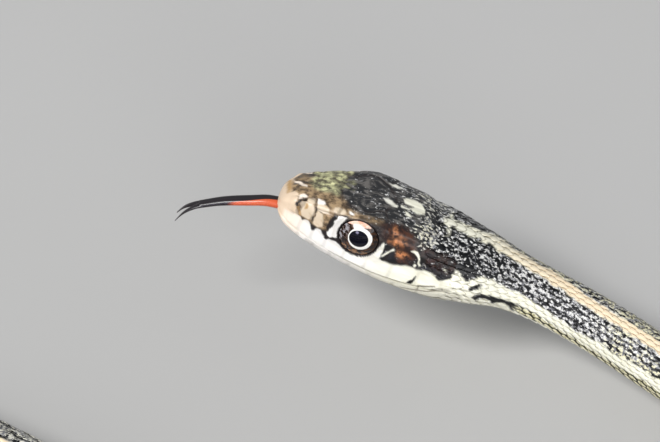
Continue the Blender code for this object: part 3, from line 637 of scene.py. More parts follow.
# Folds of the skin behind the corner of the mouth, along the mouth and under the lower lip, as
# (corners, strength): they sink the skin a little, and their brown is painted shade
FOLDS_AND_SHADE = (
    (((12.55, 0.6), (12.6, 0.575), (13.2, 0.558), (13.9, 0.537), (14.0, 0.55), (13.4, 0.572),
      (12.8, 0.595)), 0.9),
    (((13.8, 0.56), (14.4, 0.55), (15.4, 0.527), (17.0, 0.497), (17.0, 0.505), (15.4, 0.545),
      (14.6, 0.57)), 0.5),
    (((11.2, 0.71), (11.4, 0.68), (12.4, 0.65), (13.4, 0.62), (14.3, 0.585), (14.4, 0.6), (13.6, 0.64),
      (12.9, 0.665), (12.0, 0.69)), 0.85),
    (((13.7, 0.575), (14.3, 0.555), (15.3, 0.545), (15.4, 0.575), (14.9, 0.605), (13.9, 0.62)), 0.6),
    (((12.6, 0.58), (12.75, 0.58), (12.8, 0.67), (12.68, 0.68)), 0.8),
    (((15.7, 0.57), (16.1, 0.565), (16.0, 0.595), (15.7, 0.6)), 0.5),
    (((5.0, 0.616), (9.0, 0.622), (11.0, 0.612), (12.6, 0.594), (12.6, 0.606), (11.0, 0.626),
      (9.0, 0.636), (5.0, 0.628)), 0.6),
    (((3.0, 0.63), (9.0, 0.638), (11.0, 0.628), (12.7, 0.61), (15.0, 0.58), (16.5, 0.6), (16.0, 0.8),
      (3.0, 0.8)), 0.36),
)

# Edges of the pale and dark areas, as (distance from the snout, way round)
LIP_EDGE = ((1.2, 0.4), (1.6, 0.425), (1.95, 0.43), (2.05, 0.44), (2.18, 0.458), (2.4, 0.437),
            (2.6, 0.43), (2.9, 0.455), (3.15, 0.5), (3.3, 0.495), (3.5, 0.46), (3.8, 0.455),
            (4.0, 0.475), (4.25, 0.49), (4.5, 0.507), (4.65, 0.485), (5.2, 0.485), (6.2, 0.52),
            (7.4, 0.512), (8.0, 0.495), (8.8, 0.475), (9.6, 0.482), (10.4, 0.477), (11.2, 0.452),
            (12.2, 0.447), (13.0, 0.435), (13.5, 0.45), (14.0, 0.475), (14.3, 0.48), (14.6, 0.458),
            (14.95, 0.44), (15.3, 0.41), (15.7, 0.4), (16.1, 0.415), (16.33, 0.44), (16.5, 0.39),
            (16.8, 0.37), (17.1, 0.345), (17.5, 0.32), (18.0, 0.32), (18.5, 0.305), (18.8, 0.335),
            (19.1, 0.352), (21.0, 0.36), (22.5, 0.38), (25.0, 0.405), (26.0, 0.405), (26.8, 0.43),
            (27.6, 0.4), (28.3, 0.395), (28.8, 0.36), (29.6, 0.37), (30.1, 0.39), (31.0, 0.365),
            (32.0, 0.35), (35.0, 0.335), (45.0, 0.36), (60.0, 0.385), (640.0, 0.385))
STRIPE_LOW = ((17.0, 0.6), (20.0, 0.535), (24.0, 0.54), (29.0, 0.555), (31.0, 0.535), (32.5, 0.5),
              (33.8, 0.48), (36.0, 0.5), (45.0, 0.515), (60.0, 0.525), (640.0, 0.525))
BELLY_MARKS_END = ((17.0, 0.6), (21.0, 0.645), (25.0, 0.68), (640.0, 0.69))
STRIPE_LEFT = ((12.8, 0.0), (13.1, 0.025), (13.6, 0.018), (14.5, 0.022), (15.5, 0.022), (16.0, 0.014),
               (16.6, 0.026), (17.2, 0.022), (18.0, 0.036), (20.0, 0.046), (22.0, 0.06), (24.0, 0.072),
               (25.5, 0.092), (27.5, 0.088), (30.0, 0.072), (32.5, 0.055), (36.0, 0.08), (40.0, 0.09),
               (640.0, 0.09))
STRIPE_RIGHT = ((12.8, 0.0), (13.1, 0.03), (14.0, 0.042), (15.5, 0.055), (16.2, 0.07), (17.0, 0.12),
                (18.0, 0.13), (22.5, 0.13), (24.0, 0.11), (25.2, 0.085), (26.6, 0.055), (28.0, 0.06),
                (30.0, 0.07), (32.0, 0.1), (36.0, 0.09), (40.0, 0.09), (640.0, 0.09))

# Softness of the edges of the shapes and of the lines above, in millimetres
MARK_SOFT = 0.05
BEIGE_SOFT = 0.08
TAN_SOFT = 0.1
ROSTRAL_SOFT = 0.12
BROWN_SOFT = 0.3
RUST_SOFT = 0.2
WASH_SOFT = 0.28
FOLD_SOFT = 0.06
EDGE_SOFT = 0.09

# Grain that makes the edges of the markings uneven, as (strength, size of its spots)
RAGGED = ((0.012, 0.45), (0.006, 0.2), (0.004, 0.3))
BAND_RAGGED = 1.3
STRIPE_RAGGED = 1.4
SHIFTED_ALONG = (0.05, 0.35)
SHIFTED_ROUND = (0.005, 0.35)
FRINGE = (0.03, 1.1)
SNOUT_UNEVEN = (0.08, 0.5)
MOSS_UNEVEN = (0.35, 0.6)

# Spans over which a marking comes or goes, as (start, end) along the body or round it
RAGGED_FROM = (10.0, 18.0)
LOWER_SIDE = (0.2, 0.34)
LOWER_END = (9.0, 11.0)
FRONT_LIP_SIDE = (0.28, 0.5)
BAND_FROM = (20.6, 21.4)
FRINGE_FROM = (18, 24)
STRIPE_START = 12.8
WARM_FROM = (13.5, 25)
SNOUT_BEIGE_END = (0.5, 0.8)
MOSS_EDGE = (0.7, 1.2)
CROWN_SIDE = (0.3, 0.45)
CROWN_END = (10.5, 12.5)
CHEEK_SIDE = (0.23, 0.3)
CHEEK_FROM = (11.2, 12.2)
CHEEK_END = (15.5, 18.0)
FAR_SIDE = (0.08, 0.14)
FAR_FROM = (15, 19)
BUFF_FROM = (27, 31)
BUFF_END = (60, 100)
RIGHT_SIDE = (0.02, 0.1)
RIGHT_FROM = (7.0, 9.0)
RIGHT_END = (12.0, 16.0)
WASH_SIDE = (0.04, 0.12)
WASH_LOW = 0.25
# Span over which the painted sheen on the middles of the scales grows
MIDDLE_SHEEN_FROM = (16, 23)

# How much lower the marks of the crown lie on the right, and the olive patch, as (middle, radii)
LOWER_BY = 0.05
MOSS_PLACE = ((3.5, -0.13), (1.6, 1.9))
# Soft spots of flecks, as (strength, middle, radii)
FLECK_HUMPS = ((0.8, (12.0, 0.16), (1.1, 1.3)), (0.7, (9.2, 0.15), (0.4, 0.35)))
BUFF_HUMP = (0.7, (11.6, 0.15), (1.2, 1.6))
# Steps by which flecks grow denser along the body, as (strength, start and end)
FLECK_STEPS = ((0.55, (4.2, 6.0)), (0.08, (15.5, 19.0)), (0.25, (26.0, 30.0)))
FAR_FLECKS = 0.3
NAPE_FLECKS = 0.3
NAPE_START = 8.0
NAPE_SLANT = 9.0
NAPE_LENGTH = 2.0
# Shares of the flecks that the brown areas and the cheek hide, of the snout's brown that is missing
# on the right, and the least strength of the grey on the scales' middles, which is partly painted sheen
BROWN_HIDES = 0.75
CHEEK_HIDES = 0.8
WASH_HIDDEN = 0.6
BUFF_FADES = 0.6
MIDDLE_SHEEN_LEAST = 0.35


def round_length(s):
    """Millimetres round the body for each unit of v."""
    return np.where(s < HEAD_END, HEAD_ROUND, np.pi * half_width(s))


def strongest(marks, s, v, soft):
    """Strongest of some soft marks, each with its own strength."""
    mask = np.zeros(s.shape)
    for corners, strength in marks:
        mask = np.maximum(mask, strength * shape_mask(corners, s, v, soft))
    return mask


def area_mask(shapes, s, v, soft=MARK_SOFT):
    """1 inside any of the shapes, and 0 outside them all."""
    return strongest([(corners, 1.0) for corners in shapes.values()], s, v, soft)


def away_from(s, v, middle, radii):
    """Distance from a middle, where 1 is one radius along the body or round it."""
    return np.hypot((s - middle[0]) / radii[0], (v - middle[1]) * HEAD_ROUND / radii[1])


def hump(s, side, strength, middle, radii):
    """Soft round spot, strongest in its middle."""
    return strength * np.exp(-away_from(s, side, middle, radii) ** 2)


def uneven(s, around, grains, seed):
    """Grain of a given (strength, size of its spots)."""
    return grains[0] * grain(s, around, grains[1], seed)


def pale_areas(s, v, ragged):
    """Pale lips and belly, the olive band of the flank, and the stripe on the back."""
    side = np.abs(v)
    soft = EDGE_SOFT / round_length(s)

    def past(distance):
        return smooth(distance, -soft, soft)

    lip = past(side + ragged - read_line(LIP_EDGE, s))
    lip = lip * np.where(s < NOTCH_END, after(side, FRONT_LIP_SIDE), 1.0)
    band = past(side + ragged * BAND_RAGGED - read_line(STRIPE_LOW, s))
    fringe = uneven(s, side * 0, FRINGE, SEED + 5) * after(s, FRINGE_FROM)
    fringe = fringe + read_line(BELLY_MARKS_END, s)
    band = band * (1 - past(side + ragged - fringe)) * after(s, BAND_FROM)
    left = past(read_line(STRIPE_LEFT, s) - v + ragged * STRIPE_RAGGED)
    right = past(read_line(STRIPE_RIGHT, s) + v + ragged * STRIPE_RAGGED)
    return lip, band, left * right * (s > STRIPE_START)


def fleck_areas(s, v, brown):
    """How dense the flecks are on the dark ground, and how many of them are buff."""
    side = np.abs(v)
    nape = NAPE_START + NAPE_SLANT * side
    fleck = NAPE_FLECKS * smooth(s - nape, 0.0, NAPE_LENGTH)
    for strength, span in FLECK_STEPS:
        fleck = fleck + strength * after(s, span)
    cheek = after(side, CHEEK_SIDE) * after(s, CHEEK_FROM) * before(s, CHEEK_END)
    fleck = fleck * (1 - BROWN_HIDES * brown) * (1 - CHEEK_HIDES * cheek)
    for spot in FLECK_HUMPS:
        fleck = fleck + hump(s, side, *spot)
    far = after(-v, FAR_SIDE) * after(s, FAR_FROM) * before(s, BUFF_END)
    right = after(-v, RIGHT_SIDE) * after(s, RIGHT_FROM) * before(s, RIGHT_END)
    buff = after(s, BUFF_FROM) * (1 - BUFF_FADES * after(s, BUFF_END)) + hump(s, side, *BUFF_HUMP)
    return fleck + FAR_FLECKS * (right + far), np.maximum(buff, far)


def markings(s, v, rim=0.0):
    """Strength from 0 to 1 of each kind of marking at s and v."""
    side = np.abs(v)
    around = v * round_length(s)
    coarse, middle, fine = (uneven(s, around, grains, SEED + k) for k, grains in enumerate(RAGGED))
    ragged = (coarse + middle) * after(s, RAGGED_FROM) + fine
    lower = LOWER_BY * (v < 0) * before(side, LOWER_SIDE) * before(s, LOWER_END)
    at = s + uneven(s, around, SHIFTED_ALONG, SEED + 3)
    way = side - lower + uneven(s, around, SHIFTED_ROUND, SEED + 4)

    lip, band, stripe = pale_areas(s, v, ragged)
    black = np.maximum(area_mask(BLACK_SHAPES, at, way), rim)
    pale = np.maximum(lip * (1 - band), area_mask(PALE_SHAPES, at, way))
    pale = np.maximum(pale, np.maximum(stripe, area_mask(SPOT_SHAPES, at, v))) * (1 - black)
    snout = before(s + uneven(s, around, SNOUT_UNEVEN, SEED + 7), SNOUT_BEIGE_END)
    beige = np.maximum(area_mask(BEIGE_SHAPES, at, way, BEIGE_SOFT), snout)
    tan = np.maximum(area_mask(TAN_SHAPES, at, way, TAN_SOFT),
                     shape_mask(ROSTRAL_TAN, at, v, ROSTRAL_SOFT))
    brown = strongest(BROWN_AREAS, at, way, BROWN_SOFT)
    moss = away_from(s, v, *MOSS_PLACE) + uneven(s, around, MOSS_UNEVEN, SEED + 6)
    fleck, buff = fleck_areas(s, v, brown)
    wash = 1 - WASH_HIDDEN * after(-v, WASH_SIDE) * (side < WASH_LOW)
    return {"pale": pale, "band": band, "black": black, "fleck": fleck, "buff": buff,
            "warm": stripe * after(s, WARM_FROM), "beige": beige * (1 - black),
            "tan": tan * (1 - black), "olive": before(moss, MOSS_EDGE) * (1 - pale),
            "brown": brown * (1 - pale) * (1 - black),
            "rust_and_highlight": strongest(RUST_MARKS_AND_HIGHLIGHTS, at, way, RUST_SOFT),
            "snout": wash * shape_mask(SNOUT_BROWN, at, way, WASH_SOFT),
            "crown": before(side, CROWN_SIDE) * before(s, CROWN_END),
            # Strength of the painted shade in the folds, along the mouth and under the lower lip
            "fold_shade": strongest(FOLDS_AND_SHADE, s, side, FOLD_SOFT),
            # Strength of the grey on the middles of the scales, which is partly painted sheen
            "rows": MIDDLE_SHEEN_LEAST + (1 - MIDDLE_SHEEN_LEAST) * after(s, MIDDLE_SHEEN_FROM)}


def placed(points):
    """Places in metres in the shared frame."""
    return points * MM + SHIFT


def wrapped(v):
    """The same way round, between -1 and 1."""
    return (v + 1) % 2 - 1


def fill(items, name, values, kind=np.float32):
    """Set one property of all the items of a mesh."""
    items.foreach_set(name, np.asarray(values, kind).ravel())


def new_mesh(name, points, faces, smooth_shaded=None):
    """Mesh from points in millimetres and arrays of faces, with a list of which ones are smooth."""
    mesh = bpy.data.meshes.new(name)
    mesh.vertices.add(len(points))
    fill(mesh.vertices, "co", placed(np.asarray(points, float)))
    sizes = np.concatenate([np.full(len(group), group.shape[1]) for group in faces])
    flags = smooth_shaded or [True] * len(faces)
    mesh.loops.add(int(sizes.sum()))
    fill(mesh.loops, "vertex_index", np.concatenate([group.ravel() for group in faces]), np.int32)
    mesh.polygons.add(len(sizes))
    fill(mesh.polygons, "loop_start", np.cumsum(sizes) - sizes, np.int32)
    fill(mesh.polygons, "use_smooth", np.repeat(flags, [len(group) for group in faces]), bool)
    mesh.update(calc_edges=True)
    mesh.validate()
    return mesh


def add_numbers(mesh, name, values):
    fill(mesh.attributes.new(name, "FLOAT", "POINT").data, "value", values)


def add_vectors(mesh, name, values):
    fill(mesh.attributes.new(name, "FLOAT_VECTOR", "POINT").data, "vector", values)


def add_map(mesh, places):
    """UV map that the colours are baked through, given for every corner of every face."""
    fill(mesh.uv_layers.new(name="OFBake").data, "uv", places)


def add_markings(mesh, s, v, tone, along, across, rim=0.0, groove=0.0):
    """Store everything that the materials of the skin and the scales read."""
    numbers = dict(markings(s, v, rim), tone=tone, along=along, across=across, groove=groove)
    for name, values in numbers.items():
        add_numbers(mesh, name, values + np.zeros(len(s)))
    beside, above = section(s, np.abs(v)).T
    add_vectors(mesh, "chart", np.stack([s, np.where(v < 0, -beside, beside), above], -1))


def new_object(name, data):
    item = bpy.data.objects.new(name, data)
    bpy.context.scene.collection.objects.link(item)
    return item


def new_piece(name, mesh, material, nodes=()):
    piece = new_object(name, mesh)
    mesh.materials.append(material)
    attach(piece, "root")
    if nodes:
        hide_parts(*nodes)
    return piece


def lip_plates():
    """Corners of the upper and lower lip plates, and of the chin shields."""
    plates = []
    for ends, sign in ((UPPER_LIP_ENDS, -1), (LOWER_LIP_ENDS, 1)):
        for both in zip(ends, ends[1:]):
            split = read_line(LIP_SPLIT, both) + sign * LIP_GAP
            edge = read_line(UPPER_LIP_TOP, both) if sign < 0 else np.full(2, LOWER_LIP_LOW)
            front = both[0] + PLATE_GAP
            back = both[1] - PLATE_GAP
            plates.append(((front, edge[0]), (front, split[0]), (back, split[1]), (back, edge[1])))
    high, low = CHIN_SHIELD_EDGES
    for front, back in CHIN_SHIELDS:
        plates.append(((front, high), (front, low), (back, low), (back, high)))
    return plates


def plate_lift(s, v):
    """Height of the head's plates above their grooves."""
    lift = np.zeros(s.shape)
    shapes = [(corners, v, PLATE_LIFT) for corners in MIDDLE_PLATES.values()]
    shapes += [(corners, np.abs(v), PLATE_LIFT) for corners in SIDE_PLATES.values()]
    shapes += [(corners, np.abs(v), LIP_LIFT) for corners in lip_plates()]
    for corners, way, top in shapes:
        near = near_shape(corners, s, way, 0.0)
        depth = np.maximum(depth_in(corners, s[near], way[near]), 0)
        lift[near] = np.maximum(lift[near], top * (1 - np.exp(-(depth / PLATE_ROUNDING) ** 1.5)))
    return lift


def groove_depth(s, v):
    """1 in the grooves between the head's plates, and 0 on the plates and past the head."""
    head = (s > PLATES_SPAN[0]) & (s < PLATES_SPAN[1])
    depth = np.zeros(s.shape)
    depth[head] = 1 - after(plate_lift(s[head], v[head]) / LIP_LIFT, GROOVE_EDGE)
    return depth * before(s - read_line(FIRST_SCALE, np.abs(v)), PLATES_FADE)


def coat_depth(s):
    return COAT_SHARE * half_width(s)


def skin_lift(s, v):
    """How far the skin stands above the plain surface of the body."""
    side = np.abs(v)
    flat = section(s, side)
    lip = read_line(LIP_HEIGHT, s) - read_line(MOUTH_DROP, s)
    mouth = np.exp(-((flat[..., 1] - lip) / MOUTH_GAP) ** 2) * (side > MOUTH_SIDE)
    mouth = mouth * before(s - MOUTH_CORNER, MOUTH_FADE)
    notch = np.hypot(flat[..., 0] / NOTCH_RADII[0], (flat[..., 1] - NOTCH_MIDDLE) / NOTCH_RADII[1])
    notch = after(1 - notch ** 2, NOTCH_EDGE) * (s < NOTCH_END) * (side > MOUTH_SIDE)
    away = np.hypot((s - NOSTRIL_PLACE[0]) * NOSTRIL_STRETCH, (side - NOSTRIL_PLACE[1]) * HEAD_ROUND)
    nostril = before(away / NOSTRIL_RADIUS, NOSTRIL_EDGE)
    bare = before(s - read_line(FIRST_SCALE, side), BARE_END)
    lift = plate_lift(s, v) * bare - coat_depth(s) * (1 - bare)
    lift = lift - FOLD_DEPTH * strongest(FOLDS_AND_SHADE, s, side, FOLD_SOFT)
    return lift - MOUTH_DEPTH * mouth - NOTCH_DEPTH * notch - NOSTRIL_DEPTH * nostril


def eye_frame(side):
    """Centre of the eye's outline, with its outward, tailward and upward directions."""
    s, v = EYE_AT
    axis = outward(s, v * side)
    tailward = body_frame(np.array(s))[1]
    tailward = unit(tailward - axis * np.dot(tailward, axis))
    upward = side * np.cross(axis, tailward)
    tilt = math.radians(EYE_TILT)
    tilted = axis * math.cos(tilt) + upward * math.sin(tilt)
    upward = upward * math.cos(tilt) - axis * math.sin(tilt)
    return surface(s, v * side) - tilted * EYE_SINK, tilted, tailward, upward


def from_eye(points, side):
    """Height of points over an eye, their distances beside and above it, and which ones are near."""
    centre, axis, _, upward = eye_frame(side)
    offset = points - centre
    height = offset @ axis
    flat = offset - height[..., None] * axis
    return height, np.linalg.norm(flat, axis=-1), flat @ upward, np.abs(height) < EYE_REACH


def seat_eye(points, side):
    """Bring the skin round an eye to the level of its rim, and sink it behind the eye."""
    height, away, up, near = from_eye(points, side)
    above = np.clip(up / EYE_RADIUS, 0, 1)
    ridge = BROW_LIFT * (1 + above) * np.exp(-((away - SOCKET_RIM[0] - BROW_AWAY) / BROW_WIDTH) ** 2)
    share = before(away, SOCKET_RIM)
    level = np.clip(height, *SOCKET_LEVEL)
    pit = SOCKET_PIT * before(away - EYE_RADIUS, PIT_EDGE)
    wanted = height * (1 - share) + share * level + ridge - pit
    moved = points + eye_frame(side)[1] * (wanted - height)[..., None]
    return np.where((near & (away < SOCKET_RIM[1]))[..., None], moved, points)


def eye_rim(points):
    """1 on the dark skin that touches an eye, and 0 away from it."""
    rim = np.zeros(points.shape[:-1])
    for side in (1, -1):
        _, away, _, near = from_eye(points, side)
        rim = np.maximum(rim, near * before(away - EYE_RADIUS, RIM_EDGE))
    return rim


def skin_steps():
    """Places of the skin's rings along the head, and of the coarser ones along the body."""
    nose = SNOUT_ROUND * np.linspace(NOSE_FIRST, 1, NOSE_RINGS) ** NOSE_POWER
    head = np.arange(nose[-1] + HEAD_STEP, HEAD_END, HEAD_STEP)
    body = np.arange(HEAD_END, TOTAL_LENGTH - TAIL_ENDS[0], BODY_STEP)
    return np.concatenate([nose, head]), np.append(body, TOTAL_LENGTH - TAIL_ENDS[1])


def skin_ways():
    """Ways round the head, closer together along the mouth."""
    plain = np.linspace(0, 1, WAYS_TRIED)
    wish = np.ones(WAYS_TRIED)
    for middle, spread, more in DENSER_WAYS:
        wish += more * np.exp(-((plain - middle) / spread) ** 2)
    total = np.concatenate(([0.0], np.cumsum((wish[1:] + wish[:-1]) / 2)))
    half = np.interp(np.linspace(0, total[-1], HEAD_COUNT // 2 + 1), total, plain)
    return np.concatenate([half, -half[-2:0:-1]])


def ring_faces(first, count, rings):
    """Quads between rings of points that follow each other."""
    i = np.arange(count)
    j = (i + 1) % count
    base = first + count * np.arange(rings - 1)[:, None]
    return np.stack([base + i, base + count + i, base + count + j, base + j], -1).reshape(-1, 4)


def fan(middle, ring):
    """Triangles from one point to each side of a ring."""
    return np.stack([np.full(len(ring), middle), ring, np.roll(ring, -1)], -1)


def joining_faces(fine, coarse):
    """Triangles between a ring of points and a ring of half as many."""
    here = fine[::2]
    half = fine[1::2]
    there = np.roll(here, -1)
    below = np.roll(coarse, -1)
    return np.concatenate([np.stack([here, coarse, half], -1), np.stack([half, coarse, below], -1),
                           np.stack([half, below, there], -1)])


def head_skin(s, v):
    """Points of the skin of the head, with its plates, mouth and sockets."""
    base = surface(s, v)
    around = np.roll(base, -1, axis=1) - np.roll(base, 1, axis=1)
    points = base + unit(np.cross(around, np.gradient(base, axis=0))) * skin_lift(s, v)[..., None]
    for side in (1, -1):
        points = seat_eye(points, side)
    return points


def skin_grid():
    """Points, faces, s and v of the skin: fine rings on the head and half as many points behind it."""
    head_s, body_s = skin_steps()
    ways = skin_ways()
    count = len(ways)
    near_s, near_v = np.meshgrid(head_s, ways, indexing="ij")
    far_s, far_v = np.meshgrid(body_s, ways[::2], indexing="ij")
    near = head_skin(near_s, near_v)
    far = surface(far_s, far_v, -coat_depth(far_s))
    tip = body_frame(np.array([TOTAL_LENGTH]))[0]
    points = np.concatenate([near.reshape(-1, 3), far.reshape(-1, 3), near[0].mean(axis=0)[None], tip])
    front = np.arange(count)
    first = near_s.size
    back = first + np.arange(count // 2)
    total = first + far_s.size
    last = total - 1 - np.arange(count // 2)
    faces = [ring_faces(0, count, len(head_s)), ring_faces(first, count // 2, len(body_s)),
             joining_faces(first - count + front, back), fan(total, front), fan(total + 1, last)]
    s = np.concatenate([near_s.ravel(), far_s.ravel(), [0.0, TOTAL_LENGTH]])
    v = np.concatenate([near_v.ravel(), far_v.ravel(), [0.0, 0.0]])
    return points, faces, s, v


def unwrap_skin(faces, s, v):
    """Half of the map for the head, and the rest for the body in lengths above each other."""
    places = []
    for group in faces:
        way = v[group]
        middle = s[group].mean(axis=1, keepdims=True)
        split = (way.max(axis=1, keepdims=True) - way.min(axis=1, keepdims=True) > 1) & (way < 0)
        way = np.minimum((np.where(split, way + 2, way) + 1) * MAP_HALF + 2 * MAP_EDGE, 1.0)
        lengths = (np.stack([s[group], middle + 0 * way]) - HEAD_END) / (TOTAL_LENGTH - HEAD_END)
        share, whole = lengths * SKIN_MAP_LENGTHS
        row = np.clip(np.floor(whole), 0, SKIN_MAP_LENGTHS - 1)
        head_u = MAP_EDGE + MAP_HALF * (s[group] / HEAD_END) ** SKIN_MAP_POWER
        body_u = 0.5 + MAP_EDGE + MAP_HALF * (share - row)
        body_way = (row + ROW_EDGE + (1 - 2 * ROW_EDGE) * way) / SKIN_MAP_LENGTHS
        head = middle < HEAD_END
        places.append(np.stack([np.where(head, head_u, body_u), np.where(head, way, body_way)], -1))
    return np.concatenate([place.reshape(-1, 2) for place in places])


def make_skin(material, nodes):
    points, faces, s, v = skin_grid()
    mesh = new_mesh("skin", points, faces)
    add_markings(mesh, s, v, 0.0, 0.0, 1.0, eye_rim(points), groove_depth(s, v))
    add_map(mesh, unwrap_skin(faces, s, v))
    return new_piece("skin", mesh, material, nodes)


def scale_places():
    """Front ends of the scales along the body, with one more past the tail."""
    places = [FIRST_PLACE]
    while places[-1] < TOTAL_LENGTH + 2:
        s = places[-1]
        share = after(s, TAIL_BLEND)
        body = read_line(SCALE_SHARE, s) * half_width(s)
        places.append(s + body * (1 - share) + (TAIL_SHARE * half_width(s) + TAIL_LEAST) * share)
    return np.array(places)


def row_of_scales(places, odd, way, pitch, first, last):
    """(count along the body, front end, length, way round, width) of each scale in one row."""
    index = np.arange(len(places) - 2) + 0.5 * odd
    start = np.interp(index, np.arange(len(places)), places)
    length = np.interp(index + 1, np.arange(len(places)), places) - start
    row = np.stack([index, start, length * SCALE_OVERLAP, 0 * start + way, 0 * start + pitch], -1)
    return row[(start >= first) & (start < last)]


def scale_rows(places, rows):
    """Scales of the given rows, counted from the back, over the neck, body and tail."""
    found = []
    for row in rows:
        first = read_line(FIRST_SCALE, abs(row) * ROW_PITCH)
        last = VENT if abs(row) <= BODY_ROWS else GULAR_END
        found.append(row_of_scales(places, row % 2, row * ROW_PITCH, ROW_PITCH, first, last))
    return found


def tail_rows(places, low, high):
    """Scales of the tail whose middle lies between two ways round."""
    found = []
    for start, end, half in TAIL_ZONES:
        pitch = TAIL_COVER / (half + 0.5)
        for row in range(-half, half + 1):
            if low <= row * pitch < high:
                found.append(row_of_scales(places, row % 2, row * pitch, pitch, start, end))
    return found


def scale_grid(fine, wide):
    """Shares of its length and half width at which a scale has points."""
    across = FINE_ACROSS if fine else COARSE_ACROSS
    if wide:
        across = np.sin(np.linspace(-1, 1, WIDE_COLUMNS) * np.pi / 2)
    return np.meshgrid(FINE_ALONG if fine else COARSE_ALONG, across, indexing="ij")


def scale_solid(scales, fine, keeled, wide):
    """Points, s, v, along and across of closed scales, each a grid of raised points on its skin."""
    along, across = scale_grid(fine, wide)
    start, length, way, pitch = (scales[:, k][:, None, None] for k in range(1, 5))
    rounding = TIP_ROUNDING * (WIDE_ROUNDING if wide else 1.0)
    s = start + length * (along - rounding * along * along * np.abs(across) ** TIP_POWER)
    s = np.minimum(s, TOTAL_LENGTH - 0.1)
    outline = 1.0 if wide else np.interp(along, *SCALE_OUTLINE) * SCALE_SPREAD
    v = wrapped(way + across * pitch / 2 * outline)
    height = SCALE_RISE * np.interp(along, *RISE_LINE) - ROOT_DEPTH
    height = height - SIDE_DROP * np.abs(across) ** SIDE_POWER
    if wide:
        height = np.minimum(height, 0.0)
    if keeled:
        keel = KEEL_HEIGHT * np.exp(-(across / KEEL_WIDTH) ** 2)
        height = height + keel * np.interp(along, *KEEL_LINE)
    points = surface(s, v, coat_depth(start) * height)
    return points, s, v, along + 0 * s, np.abs(across) + 0 * s


def scale_faces(count, rows, columns):
    """Top quads and one closing face underneath for each of many like scales."""
    grid = np.arange(rows * columns).reshape(rows, columns)
    top = np.stack([grid[:-1, :-1], grid[1:, :-1], grid[1:, 1:], grid[:-1, 1:]], -1).reshape(-1, 4)
    edge = np.concatenate([grid[0, :], grid[1:, -1], grid[-1, -2::-1], grid[-2:0:-1, 0]])
    base = (np.arange(count) * rows * columns)[:, None, None]
    return (base + top).reshape(-1, 4), (base + edge).reshape(-1, len(edge))


def scale_map(scales, rows, columns, low, high, total):
    """Each scale's own patch, at its root's place on the body unwrapped in lengths."""
    tops, bottoms = scale_faces(1, rows, columns)
    per = math.ceil(total / SCALE_MAP_LENGTHS)
    index, way, width = (scales[:, k][:, None] for k in (0, 3, 4))
    row = np.floor(index / per)
    wide = PATCH_SHARE / (per + PATCH_GAP)
    tall = width / (high - low)
    shown = 1 - 2 * BAND_EDGE_SHARE
    u = (index - row * per) / (per + PATCH_GAP)
    w = (way - width / 2 - low) / (high - low) + (1 - PATCH_SHARE) / 2 * tall
    w = (row + BAND_EDGE_SHARE + shown * w) / SCALE_MAP_LENGTHS
    tall = shown * PATCH_SHARE * tall / SCALE_MAP_LENGTHS
    x, y = np.meshgrid(np.linspace(0, 1, rows), np.linspace(0, 1, columns), indexing="ij")
    top = np.stack([u + wide * x.ravel()[tops.ravel()], w + tall * y.ravel()[tops.ravel()]], -1)
    angle = np.linspace(0, 2 * np.pi, bottoms.size, endpoint=False)
    bottom = np.stack([u + wide * UNDERSIDE_PLACE + UNDERSIDE_RADIUS * np.cos(angle),
                       w + tall / 2 + UNDERSIDE_RADIUS * np.sin(angle)], -1)
    return top.reshape(-1, 2), bottom.reshape(-1, 2)


def make_scales(name, sets, material, low, high, total):
    """One piece of the coat from sets of scales: (scales, fine, keeled, wide)."""
    random = np.random.default_rng(SEED + len(name))
    parts, faces, maps = [], [], []
    offset = 0
    for scales, *kind in sets:
        places, *numbers = scale_solid(scales, *kind)
        count, rows, columns = numbers[0].shape
        faces += [group + offset for group in scale_faces(count, rows, columns)]
        maps += scale_map(scales, rows, columns, low, high, total)
        tone = np.repeat(random.random(count), rows * columns)
        parts.append(np.column_stack([places.reshape(-1, 3), tone, *(n.ravel() for n in numbers)]))
        offset += count * rows * columns
    parts = np.concatenate(parts)
    mesh = new_mesh(name, parts[:, :3], faces, [True, False] * len(sets))
    tone, s, v, along, across = parts[:, 3:].T
    add_markings(mesh, s, v, tone, along, across)
    add_map(mesh, np.concatenate(maps))
    return new_piece(name, mesh, material)


def belly_scales(places):
    """Throat scales, wide plates under the belly, and paired plates under the tail."""
    gulars = []
    for row in range(GULAR_ROWS[0], GULAR_ROWS[1] + 1):
        gulars += scale_rows(places, (row, -row))
    gulars = np.concatenate(gulars)
    gulars[:, 3] = gulars[:, 3] % 2
    ventrals = row_of_scales(places, 0, 1.0, 2 * (1 - BELLY_EDGE), VENTRALS_START, VENT)
    half = 1 - UNDER_TAIL_EDGE
    pairs = [row_of_scales(places, odd, 1 + way * half / 2, half + UNDER_TAIL_OVERLAP, VENT,
                           TOTAL_LENGTH - UNDER_TAIL_END) for odd, way in ((0, -1), (1, 1))]
    return [(gulars, True, False, False), (ventrals, True, False, True),
            (np.concatenate(pairs), True, False, False)]


def make_coat(material):
    """Back, both flanks, and the plates under the throat, belly and tail."""
    places = scale_places()
    total = len(places)
    edge = (BACK_ROWS + 0.5) * ROW_PITCH
    ranges = {"scales_back": (range(-BACK_ROWS, BACK_ROWS + 1), -edge, edge),
              "scales_left": (range(BACK_ROWS + 1, BODY_ROWS + 1), edge, FLANK_MAP_END),
              "scales_right": (range(-BODY_ROWS, -BACK_ROWS), -FLANK_MAP_END, -edge)}
    for name, (rows, low, high) in ranges.items():
        scales = np.concatenate(scale_rows(places, rows) + tail_rows(places, low, high))
        near = scales[:, 1] < FINE_UNTIL
        sets = [(scales[near], True, True, False), (scales[~near], False, True, False)]
        make_scales(name, sets, material, low, high, total)
    make_scales("scales_belly", belly_scales(places), material, *BELLY_MAP, total)


